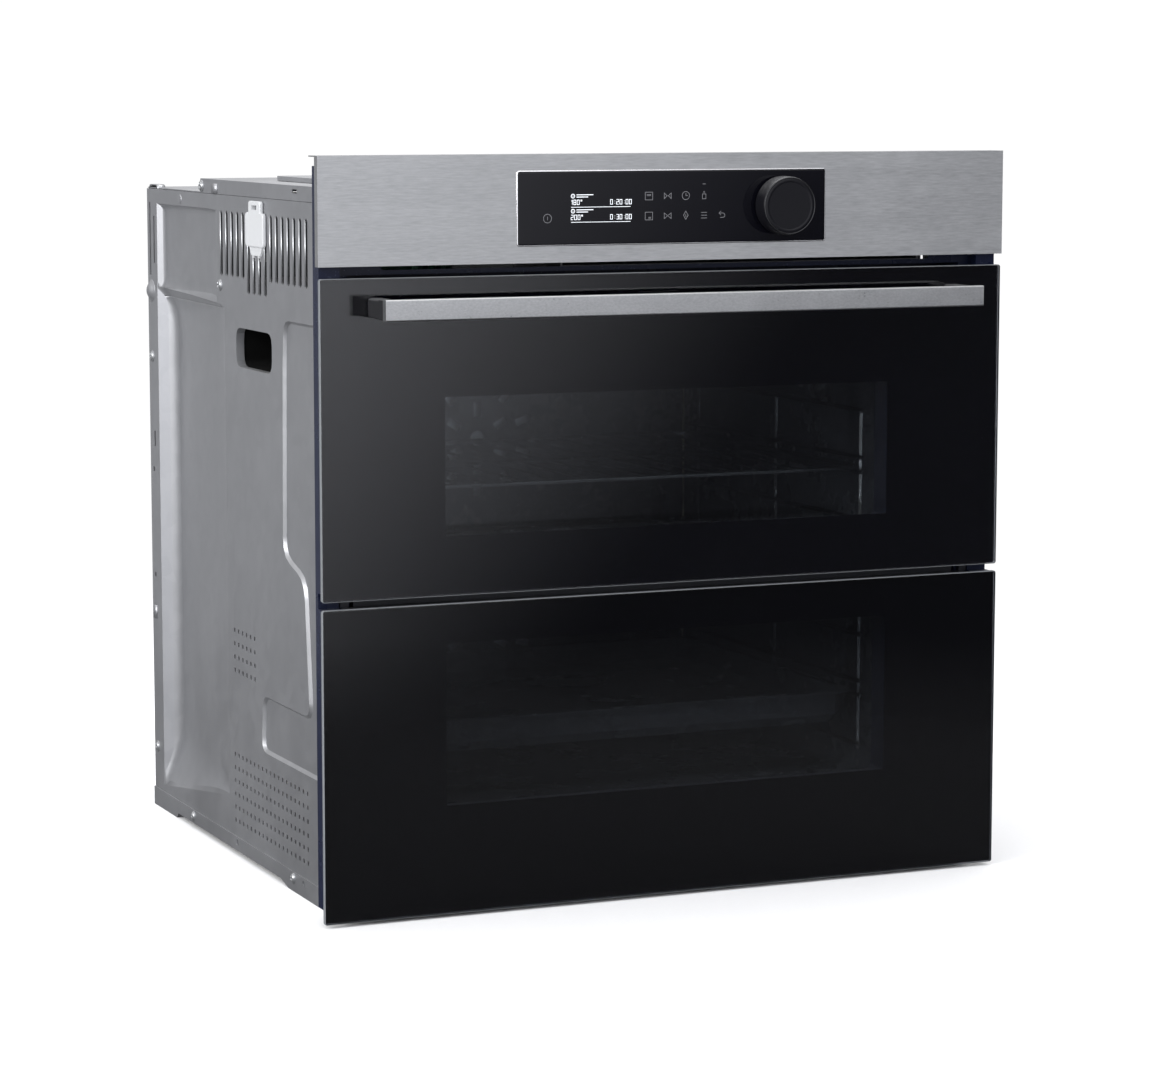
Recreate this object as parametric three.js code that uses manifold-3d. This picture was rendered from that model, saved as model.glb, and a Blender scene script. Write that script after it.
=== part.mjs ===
// Built-in wall oven with a door that opens whole or only in its upper half.
// Lengths in millimetres. x runs to the right, s runs from the cabinet face into the cabinet, z runs up from the feet.
import * as THREE from "three";
import { mergeVertices } from "three/addons/utils/BufferGeometryUtils.js";
import Module from "manifold-3d";

const wasm = await Module();
wasm.setup();

// Ranges: each is [low, high]
const mid = ([a, b]) => (a + b) / 2;
const size = ([a, b]) => b - a;
const grow = ([a, b], by) => [a - by, b + by];
const about = (middle, half) => [middle - half, middle + half];
const from = (start, length) => [start, start + length];
const onSide = (side, [a, b]) => (side > 0 ? [a, b] : [-b, -a]);
const along = ([a, b], share) => a + (b - a) * share;
const part = (range, [low, high]) => [along(range, low), along(range, high)];
const spot = (u, v, corner, shares) => shares.map(([a, b, c]) => [along(u, a), along(v, b), c * corner]);
const point = (u, v, shares) => shares.map(([a, b]) => [along(u, a), along(v, b)]);
const SIDES = [-1, 1];

// Driving dimensions of the whole
const GAP = 0.3;
const PLAY = 0.8;
const SKIN = 1;
const CHASSIS_X = 275;
const CHASSIS_BACK = 510;
const CHASSIS_TOP = 561;
const GLASS_X = 297;
const PANEL_X = 298;
const FRONT_S = -21;
const GLASS = 4;
const GLASS_BACK = FRONT_S + GLASS;
const SPLIT_GAP = 6;
const PANEL_GAP = 9;
const LOWER_GLASS_Z = [3, 250.5];
const UPPER_GLASS_Z = [LOWER_GLASS_Z[1] + SPLIT_GAP, 505.5];
const PANEL_Z = [UPPER_GLASS_Z[1] + PANEL_GAP, 599];
const DECK_TOP = 5.5;
const DECK_SEAT = 0.7;

// Axes that the doors turn about, as [s, z], and the farthest that a pane's bottom corner swings from each
const LOWER_PIVOT = [-8, 16];
const UPPER_PIVOT = [-11.5, 261.5];
const UPPER_SWING = Math.hypot(UPPER_PIVOT[0] - FRONT_S, UPPER_PIVOT[1] - UPPER_GLASS_Z[0]);

// Front frame, cavity and the wall behind it
const RECESS = { x: 268, s: 28, gauge: 1.2 };
const CAVITY = { x: 220, s: [RECESS.s + RECESS.gauge + GAP, 434], z: [68, 433], gauge: 1.2, corner: 14, flange: 12 };
const SPLIT_Z = 251;

// Sheet parts of the chassis
const SIDE = { s: [GAP, CHASSIS_BACK], z: [DECK_TOP + DECK_SEAT, CHASSIS_TOP], gauge: SKIN, flange: 12, frontFlange: 5.4, block: 30 };
const WEDGE_PAN = {
  rimS: [282, 482],
  footS: [296, 472],
  rimFrontZ: [47, 469],
  rimRearZ: [20, 479],
  footZ: [54, 463],
  depth: [3, 16],
};
const TOP_PAN = {
  rimS: [304, 481],
  footS: [314, 475],
  rimFrontZ: [468, 549],
  rimRearZ: [466, 549],
  footZ: [477, 545],
  depth: [3, 6.5],
};
const PROUD = 1;
const EMBOSS = {
  depth: 2.5,
  reach: 12,
  s: [-20, 198],
  z: [102, 465],
  corner: 16,
  shares: [
    [0, 1, 0],
    [0.6927, 1, 0.75],
    [0.7064, 0.9036, 0.75],
    [0.7248, 0.4711, 1],
    [0.4862, 0.4325, 1],
    [0.4358, 0.1322, 0.75],
    [0.9817, 0.1322, 0.75],
    [1, 0, 0.75],
    [0, 0, 0],
  ],
};
const HAND_HOLE = { s: [161, 255], z: [419, 452], corner: 11, wall: SKIN, flange: 7 };
const VENTS = { count: 16, first: 292, pitch: 14.6, width: 6, z: [493, 548], corner: 2.4, longZ: [481, 548], lowZ: [481, 520] };
const LONG_VENTS = [5, 8];
const LOW_VENTS = [6, 7];
const REAR_SLOT_SHARES = [
  [0.9843, 0.8627, 0.9786],
  [0.9608, 0.8824, 0.9572],
  [0.9716, 0.5882, 0.6132],
];
const REAR_HOLE_SHARES = [
  [0.9804, 0.5508],
  [0.9804, 0.3797],
  [0.802, 0.9875],
];
const REAR_SLOT_WIDTH = 4;
const REAR_HOLE_R = 3;
const PUNCHED_LARGE = { first: 82, pitchS: 10.5, columns: 19, low: 30, pitchZ: 11.4, rows: 6, r: 2.5 };
const PUNCHED_SMALL = { first: 214.5, pitchS: 10.8, columns: 6, low: 160, pitchZ: 11.4, rows: 4, r: 2.5 };
const PUNCH_SIDES = 4;
const CLIP_WALL = 3.3;
const CLIP_SEAT = -CHASSIS_X - GAP;
const CLIP_LEG = { half: 2.2, root: 0.7, reach: 5.3, z: [512, 516], hook: 3.6, hookZ: [509, 516] };
const CLIP = {
  x: from(CLIP_SEAT - CLIP_WALL, CLIP_WALL),
  plate: { s: [171, 217], z: [521, 549], corner: 4 },
  tab: { s: [178, 208], z: [543, 558.5], corner: 2.5 },
  nose: { wall: 1.7, z: [514, 522], top: [177, 211], foot: [182, 206] },
  slot: { s: [187, 199], z: [551.5, 555] },
  hollow: { depth: 2.2, s: [176, 212], z: [525, 544] },
  bevel: 0.8,
};
const BASE = {
  x: CHASSIS_X + GAP + SKIN,
  rail: SKIN,
  railTop: 16.5,
  gauge: SKIN,
  raised: DECK_TOP - SKIN,
  s: [10, CHASSIS_BACK],
  frontFoot: 129,
  frontRise: 149,
  rearRise: 435,
  rearFoot: 440,
  lip: 5.8,
};
const BASE_SLOTS = { count: 6, first: -150, pitch: 60, s: [220, 400], width: 10 };
const RAIL_HOLE_SHARES = [
  [0.5, 0.512, 0.5455, 0.8485],
  [0.146, 0.166, 0.5758, 0.8182],
];
const BACK_INSET = 5;
const BACK = {
  x: CHASSIS_X - BACK_INSET,
  z: [SIDE.z[0], CHASSIS_TOP - BACK_INSET],
  gauge: SKIN,
  hidden: 20,
  bulge: { x: 205, z: [60, 476], depth: 38.7, wall: 14, corner: 26 },
  vents: { count: 9, first: -144, pitch: 36, width: 9, upper: [390, 440], lower: [100, 150] },
};
const COVER = {
  x: CHASSIS_X,
  s: [2, 350],
  rise: 12.5,
  gauge: SKIN,
  slot: { s: [95, 107], shares: [0.5, 0.75] },
  vents: { count: 6, first: -90, pitch: 36, s: [270, 326], width: 9 },
};
const TOP_PLATE_GAP = 0.5;
const TOP_PLATE = {
  x: CHASSIS_X - SKIN,
  s: [COVER.s[1] + TOP_PLATE_GAP, CHASSIS_BACK],
  gauge: SKIN,
  vents: { count: 7, first: -198, pitch: 66, s: [400, 470], width: 10 },
};
const DUCT_HEIGHT = 4;
const DUCT = {
  x: 245,
  s: [20, 240],
  z: from(CHASSIS_TOP + COVER.rise + GAP, DUCT_HEIGHT),
  gauge: 0.9,
  corner: 10,
  mouth: 225,
};
const BLOWER_CENTRE = [60, 280];
const BLOWER_INLET = 42;
const PARTITION_Z = [480, 481.2];
const PARTITION_EDGE = 2.6;
const PARTITION = {
  z: PARTITION_Z,
  wide: { x: CHASSIS_X - SKIN - GAP, s: [32, 276] },
  narrow: { x: 262, s: [32, CHASSIS_BACK - SKIN - GAP] },
  lip: { x: from(CHASSIS_X - SKIN - PARTITION_EDGE - size(PARTITION_Z), size(PARTITION_Z)), s: [40, 270], rise: 7.8 },
  inlet: { room: 2 },
  grommet: { x: -60, s: 430, r: 14 },
};
const CONTROL_FLOOR = PARTITION_Z[1] + GAP;

// Enamelled front frame, with the outlet of the cooling air
const HINGE_ARM_X = [250, 256];
const HINGE_ROOM = 1.5;
const OUTLET = { x: 240, z: [510.5, 518], corner: 2.5 };
const FRAME = {
  gauge: RECESS.gauge,
  rimX: [278, 295],
  rimS: [-13.5, 0],
  rimZ: [13.5, 591],
  lip: 8,
  recessX: RECESS.x,
  recessS: RECESS.s,
  recessZ: [13.5, 508.2],
  mouthCorner: CAVITY.corner,
  control: { x: 150, z: [523, 566], corner: 6 },
  hingeSlot: { x: grow(HINGE_ARM_X, HINGE_ROOM), z: [15.2, 28] },
};

// Insulation round the cavity
const BLANKET_WALL = { x: 23, below: 26, above: 23, front: 1.5, back: 11 };
const BLANKET = {
  x: CAVITY.x + BLANKET_WALL.x,
  s: [CAVITY.s[0] + BLANKET_WALL.front, CAVITY.s[1] + BLANKET_WALL.back],
  z: [CAVITY.z[0] - BLANKET_WALL.below, CAVITY.z[1] + BLANKET_WALL.above],
  corner: 20,
};
const TUBE = 3.25;
const LEG_END = BLANKET.s[1] + SKIN;
const LEG_HOLE = 4.6;
const FAN_SHAFT = 3.2;
const SHAFT_HOLE = 6;

// Fans, motors and the wall in front of them
const FAN_AXES = { upper: 335, lower: 160 };
const FAN_WALL_S = 404;
const FAN_WALL = { x: 198, s: [FAN_WALL_S, CAVITY.s[1] - GAP], z: [72, 420.5], gauge: CAVITY.gauge, corner: 16 };
const INTAKE = { rings: [26, 46], counts: [6, 10], length: 13, width: 7 };
const OUTFLOW = { x: [176, 188], z: [100, 400], count: 6, height: 32, corner: 4 };
const FAN_MOTOR_LENGTH = 56.5;
const FAN_MOTOR_S = from(CAVITY.s[1] + CAVITY.gauge + GAP, FAN_MOTOR_LENGTH);
const SHAFT_END_SHARE = 0.6814;
const FAN_MOTOR = {
  bore: FAN_SHAFT + GAP,
  r: 33,
  run: FAN_MOTOR_S,
  shares: [
    [1, 0],
    [1, 0.0442],
    [0.4242, 0.0442],
    [0.4242, 0.1858],
    [0.9394, 0.1858],
    [0.9394, 0.5398],
    [0.6667, 0.646],
    [0.6061, 1],
  ],
  core: { half: 27, shares: [0.2566, 0.5044] },
};
const FAN_SPACE = { shaft: 2, hub: 4, hubLength: 16, plate: 8, gauge: 1.2, blades: 17, heater: 15 };
const CONVECTION_FAN = {
  plate: { r: 68, s: from(FAN_WALL_S + FAN_SPACE.plate, FAN_SPACE.gauge) },
  blades: 7,
  blade: { radii: [34, 68], half: 0.6, s: from(FAN_WALL_S + FAN_SPACE.plate, FAN_SPACE.blades), skewShare: 0.35, bowShare: 0.35 },
  hub: { r: 9, s: from(FAN_WALL_S + FAN_SPACE.hub, FAN_SPACE.hubLength) },
  shaft: { r: FAN_SHAFT, s: [FAN_WALL_S + FAN_SPACE.shaft, along(FAN_MOTOR_S, SHAFT_END_SHARE)] },
};
const RING_CLEAR = 10.5;
const RING_PLATE = { seat: 0.4, gauge: 2 };
const RING_HEATER = {
  r: CONVECTION_FAN.plate.r + RING_CLEAR,
  tube: TUBE,
  s: FAN_WALL_S + FAN_SPACE.heater,
  leg: LEG_END,
  spread: 12,
  steps: 22,
  bend: 9,
  plate: { x: 22, z: 5, s: from(CAVITY.s[1] - RING_PLATE.seat - RING_PLATE.gauge, RING_PLATE.gauge) },
};
const POCKET_DEPTH = 16;
const BLANKET_POCKET = { x: 186, s: [48, 410], z: [CAVITY.z[0] - POCKET_DEPTH, CAVITY.z[0]] };
const MOTOR_ROOM = 1.5;
const HEATER_SET = 8.5;
const BLANKET_HOLES = { motor: FAN_MOTOR.r + MOTOR_ROOM, leg: 6, lamp: 17.5, bottom: { x: [-27, 27], z: [54, 65] } };
const GRILL = {
  z: CAVITY.z[1] - HEATER_SET,
  tube: TUBE,
  bend: 18,
  x: [-165, 165],
  s: [70, LEG_END],
  shares: [
    [0.3909, 1],
    [0.3909, 0.8378],
    [0, 0.8378],
    [0, 0],
    [0.197, 0],
    [0.197, 0.7314],
    [0.397, 0.7314],
    [0.397, 0],
    [0.603, 0],
    [0.603, 0.7314],
    [0.803, 0.7314],
    [0.803, 0],
    [1, 0],
    [1, 0.8378],
    [0.6091, 0.8378],
    [0.6091, 1],
  ],
  strap: { s: 205, beyond: 7, half: 5, gauge: 4.4, under: 0.5, hanger: 140, hangerHalf: 3 },
  roof: CAVITY.z[1] - GAP,
};
const BOTTOM_HEATER = {
  z: CAVITY.z[0] - HEATER_SET,
  tube: TUBE,
  bend: 20,
  x: [-150, 150],
  s: [80, LEG_END],
  shares: [
    [0.4333, 1],
    [0.4333, 0.8197],
    [0, 0.8197],
    [0, 0],
    [0.3, 0],
    [0.3, 0.6557],
    [0.7, 0.6557],
    [0.7, 0],
    [1, 0],
    [1, 0.8197],
    [0.5667, 0.8197],
    [0.5667, 1],
  ],
  strap: { s: 150, beyond: 6, half: 5, gauge: 2.5, under: 3.5, hanger: 120, hangerHalf: 3 },
  roof: CAVITY.z[0] - CAVITY.gauge - GAP,
};
const WALL_SEAT = 0.4;
const LAMP = {
  s: 150,
  z: 396,
  hole: 17,
  r: 21,
  bezelX: [209, CAVITY.x - GAP],
  bezelShares: [
    [0, 0],
    [0.3333, 0.0561],
    [0.5714, 0.2804],
    [0.6905, 0.6542],
    [0.9524, 0.7477],
    [0.9524, 1],
    [0, 1],
  ],
  holderX: [CAVITY.x + CAVITY.gauge + WALL_SEAT, 259],
  holderShares: [
    [0, 0],
    [0.7619, 0],
    [0.7619, 0.6524],
    [1, 0.6524],
    [1, 0.7326],
    [0.5714, 0.7861],
    [0.5714, 1],
    [0, 1],
  ],
};
const GASKET = { x: CAVITY.x + CAVITY.flange, z: grow(CAVITY.z, CAVITY.flange), s: 24.1, r: 3.6, corner: 26, bead: 1.8 };

// Wire goods in the cavity
const SIDE_RACK = {
  railX: 206.4,
  postX: 210.2,
  wire: 2,
  s: [48, 392],
  posts: [60, 220, 380],
  z: [92, 384],
  levelShares: [0.0205, 0.1644, 0.2055, 0.3425, 0.5229, 0.6781, 0.8151, 0.8562, 0.9932],
  studs: [110, 366],
  studX: CAVITY.x - WALL_SEAT,
};
const WIRE_RACK = { x: 205.6, s: [52, 388], frame: 2.1, wire: 1.3, corner: 16, count: 14, supportShare: 0.5 };
const RACK_LEVEL = 6;
const DIVIDER_LEVEL = 4;
const TRAY_LEVEL = 1;
const restsOn = (level) => along(SIDE_RACK.z, SIDE_RACK.levelShares[level]) + SIDE_RACK.wire + GAP;
const DIVIDER_HEIGHT = 8;
const DIVIDER = {
  x: 207.5,
  s: [31, 398],
  z: from(restsOn(DIVIDER_LEVEL), DIVIDER_HEIGHT),
  gauge: 1.4,
  front: 14,
  corner: 10,
  ribShares: [0.2425, 0.4877, 0.733],
  rib: 1,
};
const TRAY = {
  x: 200,
  s: [60, 384],
  depth: 26.3,
  gauge: 1,
  corner: 24,
  rim: 7,
  lip: 1.6,
  sink: 0.3,
  taper: 8,
};
// Control space above the cavity
const BLOWER_Z = [CONTROL_FLOOR, 531];
const BLOWER_MOTOR_LENGTH = 23.6;
const BLOWER_MOTOR_Z = from(BLOWER_Z[1] + WALL_SEAT, BLOWER_MOTOR_LENGTH);
const WHEEL_SHAFT = 2.6;
const WHEEL_SHAFT_SHARE = 0.5763;
const BLOWER = {
  centre: BLOWER_CENTRE,
  z: BLOWER_Z,
  wall: 1.5,
  scroll: { start: 58, grow: 24, steps: 20 },
  inlet: BLOWER_INLET,
  shaft: 7,
  nozzleS: [32, 262],
  nozzleShares: [
    [0.3125, 1],
    [0.6125, 1],
    [1, 0],
    [0, 0],
  ],
  nozzleZ: [509.5, 519.5],
  mouth: { x: [-88, 232], s: [2, 33] },
};
const BLOWER_WHEEL = {
  disc: { r: 48, z: [523, 524.6] },
  ring: { r: [45.5, 49], z: [485.5, 487.2] },
  blades: 11,
  blade: { radii: [40.5, 47], half: 0.5, z: [486, 524], skewShare: 0.45, bowShare: 0.35 },
  hub: { r: 7, z: [513, 526] },
  shaft: { r: WHEEL_SHAFT, z: [513, along(BLOWER_MOTOR_Z, WHEEL_SHAFT_SHARE)] },
};
const BLOWER_MOTOR = {
  bore: WHEEL_SHAFT + GAP,
  r: 30,
  run: BLOWER_MOTOR_Z,
  shares: [
    [0.6667, 0],
    [1, 0.0847],
    [1, 0.7458],
    [0.8, 1],
  ],
  core: { half: 26, shares: [0.1949, 0.661] },
};
const BOARD_LIFT = 5;
const BOARD_GAUGE = 1.6;
const POWER_BOARD = {
  x: [-236, -112],
  s: [60, 205],
  z: from(CONTROL_FLOOR + BOARD_LIFT, BOARD_GAUGE),
  feet: { inset: 8, r: 3 },
  tall: 30,
  partShares: [
    [0.0806, 0.3871, 0.0828, 0.3586, 1],
    [0.4677, 0.6129, 0.0966, 0.2897, 0.5],
    [0.6774, 0.8226, 0.0966, 0.2897, 0.5],
    [0.0806, 0.2419, 0.4552, 0.5931, 0.5333],
    [0.2903, 0.4516, 0.4552, 0.5931, 0.5333],
    [0.5484, 0.9194, 0.6207, 0.6621, 0.8],
    [0.0484, 0.9355, 0.869, 0.9517, 0.3667],
  ],
  drumShares: [
    [0.6129, 0.4414, 0.2333],
    [0.7742, 0.4414, 0.2333],
    [0.6935, 0.7724, 0.1667],
  ],
  drumTallShare: 0.8,
};
const TERMINAL = {
  x: [-206, -150],
  s: [462, 500],
  z: [CONTROL_FLOOR, 516],
  chimneyShares: [0.1786, 0.5, 0.8214],
  chimney: { half: 6, s: [470, 492], z: [508, 524] },
  gland: { z: 522, r: 9, s: [491.5, 511.8], bore: 5, core: 3 },
};
const BACK_INLET = { x: TERMINAL.x, z: [505, 538], corner: 5 };

// Control panel
const FASCIA = {
  gauge: 1,
  topReturn: [FRONT_S, -0.8],
  bottomReturn: [FRONT_S, -8],
  sideReturn: [FRONT_S, -13.9],
  bottomX: 276,
  corner: 1.2,
  foot: {
    x: [280, 292],
    s: [-20.5, -13.8],
    rows: [
      [519, 531],
      [577, 589],
    ],
  },
};
const INSERT = {
  x: [-134, 133.5],
  z: [528.3, 585.4],
  s: [-21.7, -18],
  corner: 2,
  bevel: 0.7,
  knobHole: 5,
  flange: 3,
  flangeS: [-19.7, -18],
};
const KNOB_AXIS = [92.5, 557];
const DISPLAY = {
  x: [-97, -30],
  z: [538, 575],
  s: [-17.6, -8.4],
  bezel: 2.5,
  screen: { x: [-91, -36], z: [544, 569] },
};
const TOUCH_S = [-17.4, -7.8];
const CONTROL_BOARD = {
  x: [-128, 128],
  z: [531, 583],
  s: [-8, -6.4],
  touch: { x: [-24, 62], z: [542, 573], s: TOUCH_S },
  ear: { x: [-116, -102], z: [542, 556], s: TOUCH_S },
  deep: 7.4,
  chipShares: [
    [0.1484, 0.3047, 0.1731, 0.5577, 0.4133],
    [0.4219, 0.6172, 0.3269, 0.5577, 1],
    [0.6953, 0.7422, 0.1731, 0.4038, 0.3333],
  ],
};
const SHAFT = { r: 3, s: [-36, -12] };
const SHAFT_BORE = SHAFT.r + GAP;
const ENCODER = { half: 6.2, s: [-16.4, -8.3], bush: { r: 4.2, s: [-20.5, -16.2] }, boreS: [-24, -10] };
const KNOB = {
  r: 23.3,
  s: [-41.2, -24.2],
  floor: SHAFT.s[0] - WALL_SEAT,
  shares: [
    [0.1416, 0.9176],
    [0.279, 0.9176],
    [0.279, 1],
    [0.8369, 1],
    [1, 0.9176],
    [1, 0.1647],
    [0.9657, 0.0471],
    [0.8927, 0],
    [0.8326, 0],
    [0.8069, 0.0235],
    [0, 0.0235],
  ],
};

// Doors
const BODY_S = [GLASS_BACK + GAP, -1.7];
const BODY_REAR = 16;
const BODY = {
  proud: 3,
  front: { x: 277.5, s: BODY_S },
  rear: { x: 265, s: [-2.2, BODY_REAR] },
  corner: 3,
  window: { x: 200, corner: 8 },
  pocket: { x: [206, 238], s: [BODY_S[0], 12.8] },
  inner: { x: 242.5, s: from(BODY_REAR + GAP, GLASS - GAP), corner: 6 },
};
const LOWER_BODY = {
  frontZ: [17, 249.8],
  rearZ: [17, 260.4],
  window: [84, 224],
  pocketZ: [26, 196],
  innerZ: [46, 258.6],
  band: { x: 190, z: [30, 74] },
};
const UPPER_BODY = {
  frontZ: [262, 503],
  rearZ: [262, 503],
  window: [297.5, 418],
  pocketZ: [300, 492],
  innerZ: [263.6, 455],
  band: { x: 190, z: [432, 490] },
};
const GLASS_EDGE = 0.6;
const GLASS_CORNER = 2;
const HINGE_PIN = 2.6;
const PIN_PLAY = 0.35;
const HINGE_CASE = {
  x: [244, 262],
  gauge: 1.2,
  s: [-15.8, 12],
  z: [16, 198],
  eye: 6,
  pin: HINGE_PIN,
  lip: 5,
  roller: { s: 2, z: 150, r: 5 },
};
const BAY_ROOM = 0.5;
const HINGE_BAY = { x: grow(HINGE_CASE.x, BAY_ROOM), z: [10, 205] };
const HINGE_ARM = {
  x: HINGE_ARM_X,
  bore: HINGE_PIN + PIN_PLAY,
  s: [-13.6, 54],
  z: [10.3, 46],
  corner: 5,
  shares: [
    [0, 0.0616, 0.6],
    [0.0459, 0, 0.6],
    [0.1198, 0, 0.6],
    [0.1642, 0.1485, 0.4],
    [0.6006, 0.1485, 0.2],
    [0.645, 0.2157, 0.2],
    [1, 0.2157, 0.6],
    [1, 1, 1],
    [0.8964, 1, 0.6],
    [0.8521, 0.479, 0.6],
    [0.1716, 0.4622, 0.8],
    [0.1124, 0.3193, 0.6],
    [0, 0.2997, 0.8],
  ],
};
const RECEIVER_ROOM = 3.8;
const RECEIVER_LENGTH = 30.4;
const RECEIVER = {
  x: grow(HINGE_ARM_X, RECEIVER_ROOM),
  s: from(RECESS.s + RECESS.gauge + WALL_SEAT, RECEIVER_LENGTH),
  z: [13, 56],
  gauge: 1.5,
  foot: { reach: 7, z: [30, 56] },
};
const LUG_X = [270.2, 276.8];
const SPLIT_LUG = {
  x: LUG_X,
  r: 4.8,
  post: { s: [-5.6, BODY_S[1]], z: [240, 266] },
  link: { s: [UPPER_PIVOT[0], BODY_S[1]], z: [257.6, 266] },
};
const SPLIT_PIN_R = 2.6;
const SPLIT_PIN_END = 258;
const SPLIT_PIN = {
  r: SPLIT_PIN_R,
  x: [SPLIT_PIN_END, LUG_X[1]],
  bore: SPLIT_PIN_R + GAP,
  socket: [SPLIT_PIN_END - GAP, LUG_X[0]],
};
const SPLIT_NOTCH = { x: [LUG_X[0] - WALL_SEAT, 280], z: [260, 267.6] };
const LATCH = {
  x: [218.5, 232],
  s: [2, 5.5],
  z: [260.9, 484],
  corner: 3,
  shares: [
    [0.2593, 0.9641, 0.6667],
    [0.2593, 0.1125, 1],
    [0, 0.0856, 0.6667],
    [0, 0.0112, 0.3333],
    [0.2222, 0, 0.3333],
    [0.7778, 0, 0.6667],
    [0.7778, 0.0408, 0.6667],
    [0.5556, 0.0542, 0.3333],
    [0.7407, 0.1125, 1],
    [1, 0.1394, 0.6667],
    [1, 0.9641, 1],
    [0.7778, 1, 1],
    [0.4815, 1, 1],
  ],
  slots: {
    x: [225.8, 228.2],
    corner: 0.8,
    rows: [
      [310, 322],
      [450, 462],
    ],
  },
  travel: 4,
};
const LATCH_BAY = { x: grow(LATCH.x, GAP), s: grow(LATCH.s, GAP), z: [256, 301] };
const LATCH_SOCKET = { x: [215, 233], s: [0.6, 7.4], z: [250, 262] };

// Handle
const HANDLE = { x: 258.3, z: [474.5, 491], s: [-62, -55], corner: 1.3, wall: 1.6 };
const CARRIER_POCKET = 17.3;
const CARRIER = {
  x: HANDLE.x - GAP,
  z: [475.2, 490.3],
  s: [HANDLE.s[1] + GAP, -46],
  post: 14,
  postS: [-47, FRONT_S - GAP],
  postCorner: 2.5,
  pocket: { x: CARRIER_POCKET, z: [475, 490.5], s: [-53.5, -45] },
  groove: { x: 236, z: [480.5, 485], s: [-47.6, -45.5] },
};
const LEVER = {
  x: CARRIER_POCKET - GAP,
  z: [476.6, 488.9],
  s: [-49, -45.6],
  corner: 2,
  bevel: 0.6,
  grips: [-9, -3, 3, 9],
  grip: { half: 1, z: [478.6, 486.9], s: [-46.4, -45.4] },
};

// Colours and finishes, one row per kind of surface: colour, roughness, metalness
const FINISH = {
  galvanised: [0x9a9c9e, 0.42, 0.75],
  enamelNavy: [0x1b2236, 0.35, 0.15],
  enamelGrey: [0x23262b, 0.4, 0.1],
  steel: [0xb4b5b7, 0.34, 0.9],
  zinc: [0xb9bbbd, 0.35, 0.85],
  chrome: [0xc9cbce, 0.15, 1],
  element: [0x4a4a4a, 0.5, 0.7],
  aluminium: [0xb0b2b4, 0.4, 0.85],
  wool: [0xd8cfae, 0.95, 0],
  blackGlass: [0x0c0d10, 0.06, 0],
  clearGlass: [0xbfd0cc, 0.05, 0],
  lens: [0xe9efe6, 0.1, 0],
  blackPlastic: [0x1a1a1c, 0.45, 0],
  knob: [0x202124, 0.38, 0.2],
  whitePlastic: [0xeeeeea, 0.4, 0],
  board: [0x1f5a3a, 0.55, 0],
  silicone: [0x2a2a2c, 0.8, 0],
};

// Solids. Every helper returns one closed solid in the cabinet frame.
const DEG = Math.PI / 180;
const WELD = 1e-4;
const CURVE = 3;
const REACH_SHARE = 0.45;

// A closed surface as a solid, its faces turned to point out.
function solid(geometry) {
  const bare = geometry.clone();
  bare.deleteAttribute("normal");
  bare.deleteAttribute("uv");
  const welded = mergeVertices(bare, WELD);
  const p = welded.attributes.position;
  const corner = (i) => new THREE.Vector3().fromBufferAttribute(p, i);
  const faces = [];
  let volume = 0;
  for (let i = 0; i < welded.index.count; i += 3) {
    const [a, b, c] = [0, 1, 2].map((k) => welded.index.getX(i + k));
    if (a === b || b === c || c === a) continue;
    faces.push([a, b, c]);
    volume += corner(a).dot(corner(b).cross(corner(c)));
  }
  const triVerts = new Uint32Array(faces.flatMap(([a, b, c]) => (volume < 0 ? [a, c, b] : [a, b, c])));
  const vertProperties = new Float32Array(p.array);
  return new wasm.Manifold(new wasm.Mesh({ numProp: 3, vertProperties, triVerts }));
}
const join = (first, ...others) => others.flat().reduce((whole, s) => whole.add(s), first);
const cut = (first, ...others) => others.flat().reduce((whole, s) => whole.subtract(s), first);

// Box between pairs of limits.
function block(x, s, z) {
  const box = new THREE.BoxGeometry(size(x), size(s), size(z));
  return solid(box.translate(mid(x), mid(s), mid(z)));
}
// Box with its eight corners where a function of the three ends puts them.
function hexa(corner) {
  const box = new THREE.BoxGeometry();
  const p = box.attributes.position;
  for (let i = 0; i < p.count; i++) {
    p.setXYZ(i, ...corner(+(p.getX(i) > 0), +(p.getY(i) > 0), +(p.getZ(i) > 0)));
  }
  return solid(box);
}
// Outline from rows of position and corner reach; a reach never takes over half of a side.
function outline(points) {
  const shape = new THREE.Shape();
  const count = points.length;
  points.forEach(([u, v, reach = 0], i) => {
    const here = new THREE.Vector2(u, v);
    const sides = [points[(i + count - 1) % count], points[(i + 1) % count]].map(([a, b]) => new THREE.Vector2(a, b).sub(here));
    const r = Math.min(reach, ...sides.map((side) => side.length() * REACH_SHARE));
    const [before, after] = sides.map((side) => here.clone().addScaledVector(side.normalize(), r));
    if (i === 0) shape.moveTo(before.x, before.y);
    else shape.lineTo(before.x, before.y);
    if (r > 0) shape.quadraticCurveTo(u, v, after.x, after.y);
  });
  return shape;
}
const rounded = (u, v, r = 0) =>
  outline([
    [u[0], v[0], r],
    [u[1], v[0], r],
    [u[1], v[1], r],
    [u[0], v[1], r],
  ]);
function ring(u, v, r, sides) {
  const shape = new THREE.Shape();
  for (let i = 0; i < sides; i++) {
    const turn = ((i + 0.5) * 2 * Math.PI) / sides;
    const at = [u + r * Math.cos(turn), v + r * Math.sin(turn)];
    if (i === 0) shape.moveTo(...at);
    else shape.lineTo(...at);
  }
  return shape;
}
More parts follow.
